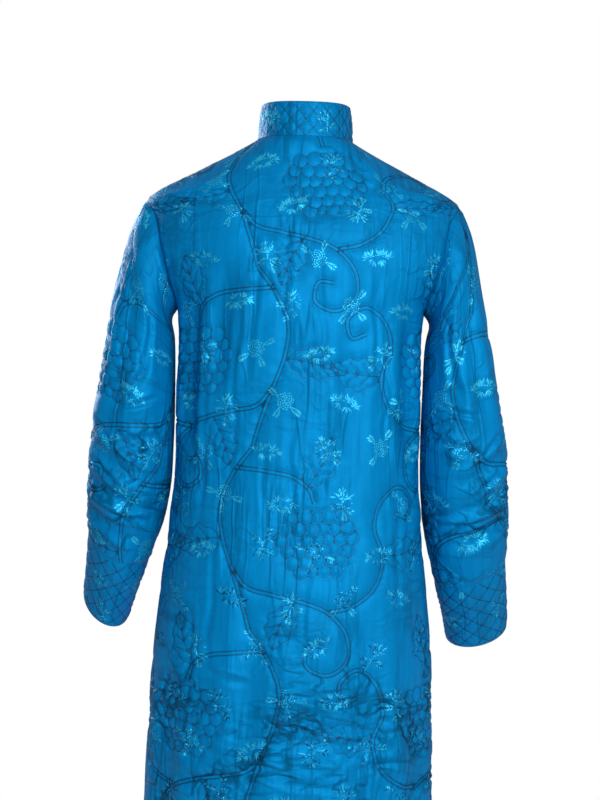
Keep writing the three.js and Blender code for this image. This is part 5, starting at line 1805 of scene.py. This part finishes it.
class COAT_PT_panel(bpy.types.Panel):
    """The coat's settings and makers"""
    bl_idname = "COAT_PT_panel"
    bl_label = "Quilted coat"
    bl_space_type = "VIEW_3D"
    bl_region_type = "UI"
    bl_category = "Coat"

    def draw(self, context):
        for group in (context.scene.coat_quilting, context.scene.coat_colours):
            for key in group.__annotations__:
                self.layout.prop(group, key)
        for maker in MAKERS:
            self.layout.operator(maker.bl_idname)


# ---- stage ----
FLOOR_Z, FLOOR_R = -1.5, 1.8
CAMERA_PLACE, CAMERA_LENS, CAMERA_SENSOR, CAMERA_ROLL = (-0.002, 1.8, -0.348), 60.0, 36.0, -1.5
# Lights: place, target and size in metres, power in watts.
LIGHTS = {
    "key": ((-0.8, 2.7, 0.3), (0, 0, -0.45), 2.4, 68),
    "fill": ((1.6, -1.8, 0.4), (0, 0, -0.5), 1.6, 40),
}
SURROUNDING, DIMNESS = (0.8, 0.88, 1.0, 1), 0.25


def make_floor():
    """A plain pale floor under the hanging coat."""
    turn = np.linspace(0, 2 * math.pi, 97)[:-1]
    mesh = bpy.data.meshes.new("floor")
    mesh.from_pydata([(FLOOR_R * math.cos(a), FLOOR_R * math.sin(a), FLOOR_Z) for a in turn], [],
                     [list(range(len(turn)))])
    surface = Surface("pale floor")
    mottle = surface.add("ShaderNodeTexNoise", {"Scale": 6.0, "Detail": 4.0}).outputs[0]
    colour = surface.ramp(mottle, (0.3, (0.66, 0.66, 0.67)), (0.7, (0.72, 0.72, 0.73)))
    mesh.materials.append(surface.finish(Base_Color=colour, Roughness=0.7))
    floor = new_object("floor", mesh)


def area_light(name, place, target, size, power):
    lamp = bpy.data.lights.new(name, "AREA")
    lamp.shape, lamp.size, lamp.energy = "DISK", size, power
    light = new_object(name, lamp)
    light.location = place
    light.rotation_euler = (Vector(target) - Vector(place)).to_track_quat("-Z", "Y").to_euler()


def make_lights():
    """A large soft light beside the camera, a weaker one from the far side, and a surrounding.

    The surrounding shines dimly, and the camera sees it white.
    """
    for name, row in LIGHTS.items():
        area_light(name, *row)
    world = bpy.data.worlds.new("surrounding")
    world.use_nodes = True
    tree = world.node_tree
    dim = tree.nodes["Background"]
    dim.inputs["Color"].default_value = SURROUNDING
    dim.inputs["Strength"].default_value = DIMNESS
    white = tree.nodes.new("ShaderNodeBackground")
    white.inputs["Color"].default_value = (1, 1, 1, 1)
    white.inputs["Strength"].default_value = 1.0
    path, mix = tree.nodes.new("ShaderNodeLightPath"), tree.nodes.new("ShaderNodeMixShader")
    tree.links.new(path.outputs["Is Camera Ray"], mix.inputs[0])
    tree.links.new(dim.outputs[0], mix.inputs[1])
    tree.links.new(white.outputs[0], mix.inputs[2])
    tree.links.new(mix.outputs[0], tree.nodes["World Output"].inputs[0])
    bpy.context.scene.world = world


def make_camera():
    camera = new_object("camera", bpy.data.cameras.new("camera"))
    camera.data.lens, camera.data.sensor_width = CAMERA_LENS, CAMERA_SENSOR
    camera.location = CAMERA_PLACE
    camera.rotation_euler = (math.radians(90), math.radians(CAMERA_ROLL), math.radians(180))
    bpy.context.scene.camera = camera
    bpy.context.scene.view_settings.view_transform = "Standard"


# ---- add-on ----
CLASSES = (CoatQuilting, CoatColours, *MAKERS, COAT_PT_panel)


def register():
    for cls in CLASSES:
        bpy.utils.register_class(cls)
    bpy.types.Scene.coat_quilting = PointerProperty(type=CoatQuilting)
    bpy.types.Scene.coat_colours = PointerProperty(type=CoatColours)


def unregister():
    del bpy.types.Scene.coat_colours
    del bpy.types.Scene.coat_quilting
    for cls in reversed(CLASSES):
        bpy.utils.unregister_class(cls)


def main():
    register()
    bpy.ops.coat.make_back()
    bpy.ops.coat.make_fronts()
    bpy.ops.coat.make_sleeves()
    bpy.ops.coat.make_cuffs()
    bpy.ops.coat.make_collar()
    bpy.ops.coat.make_pockets()
    bpy.ops.coat.make_frogs()
    bpy.ops.coat.set_stage()
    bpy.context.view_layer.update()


if __name__ == "__main__":
    main()
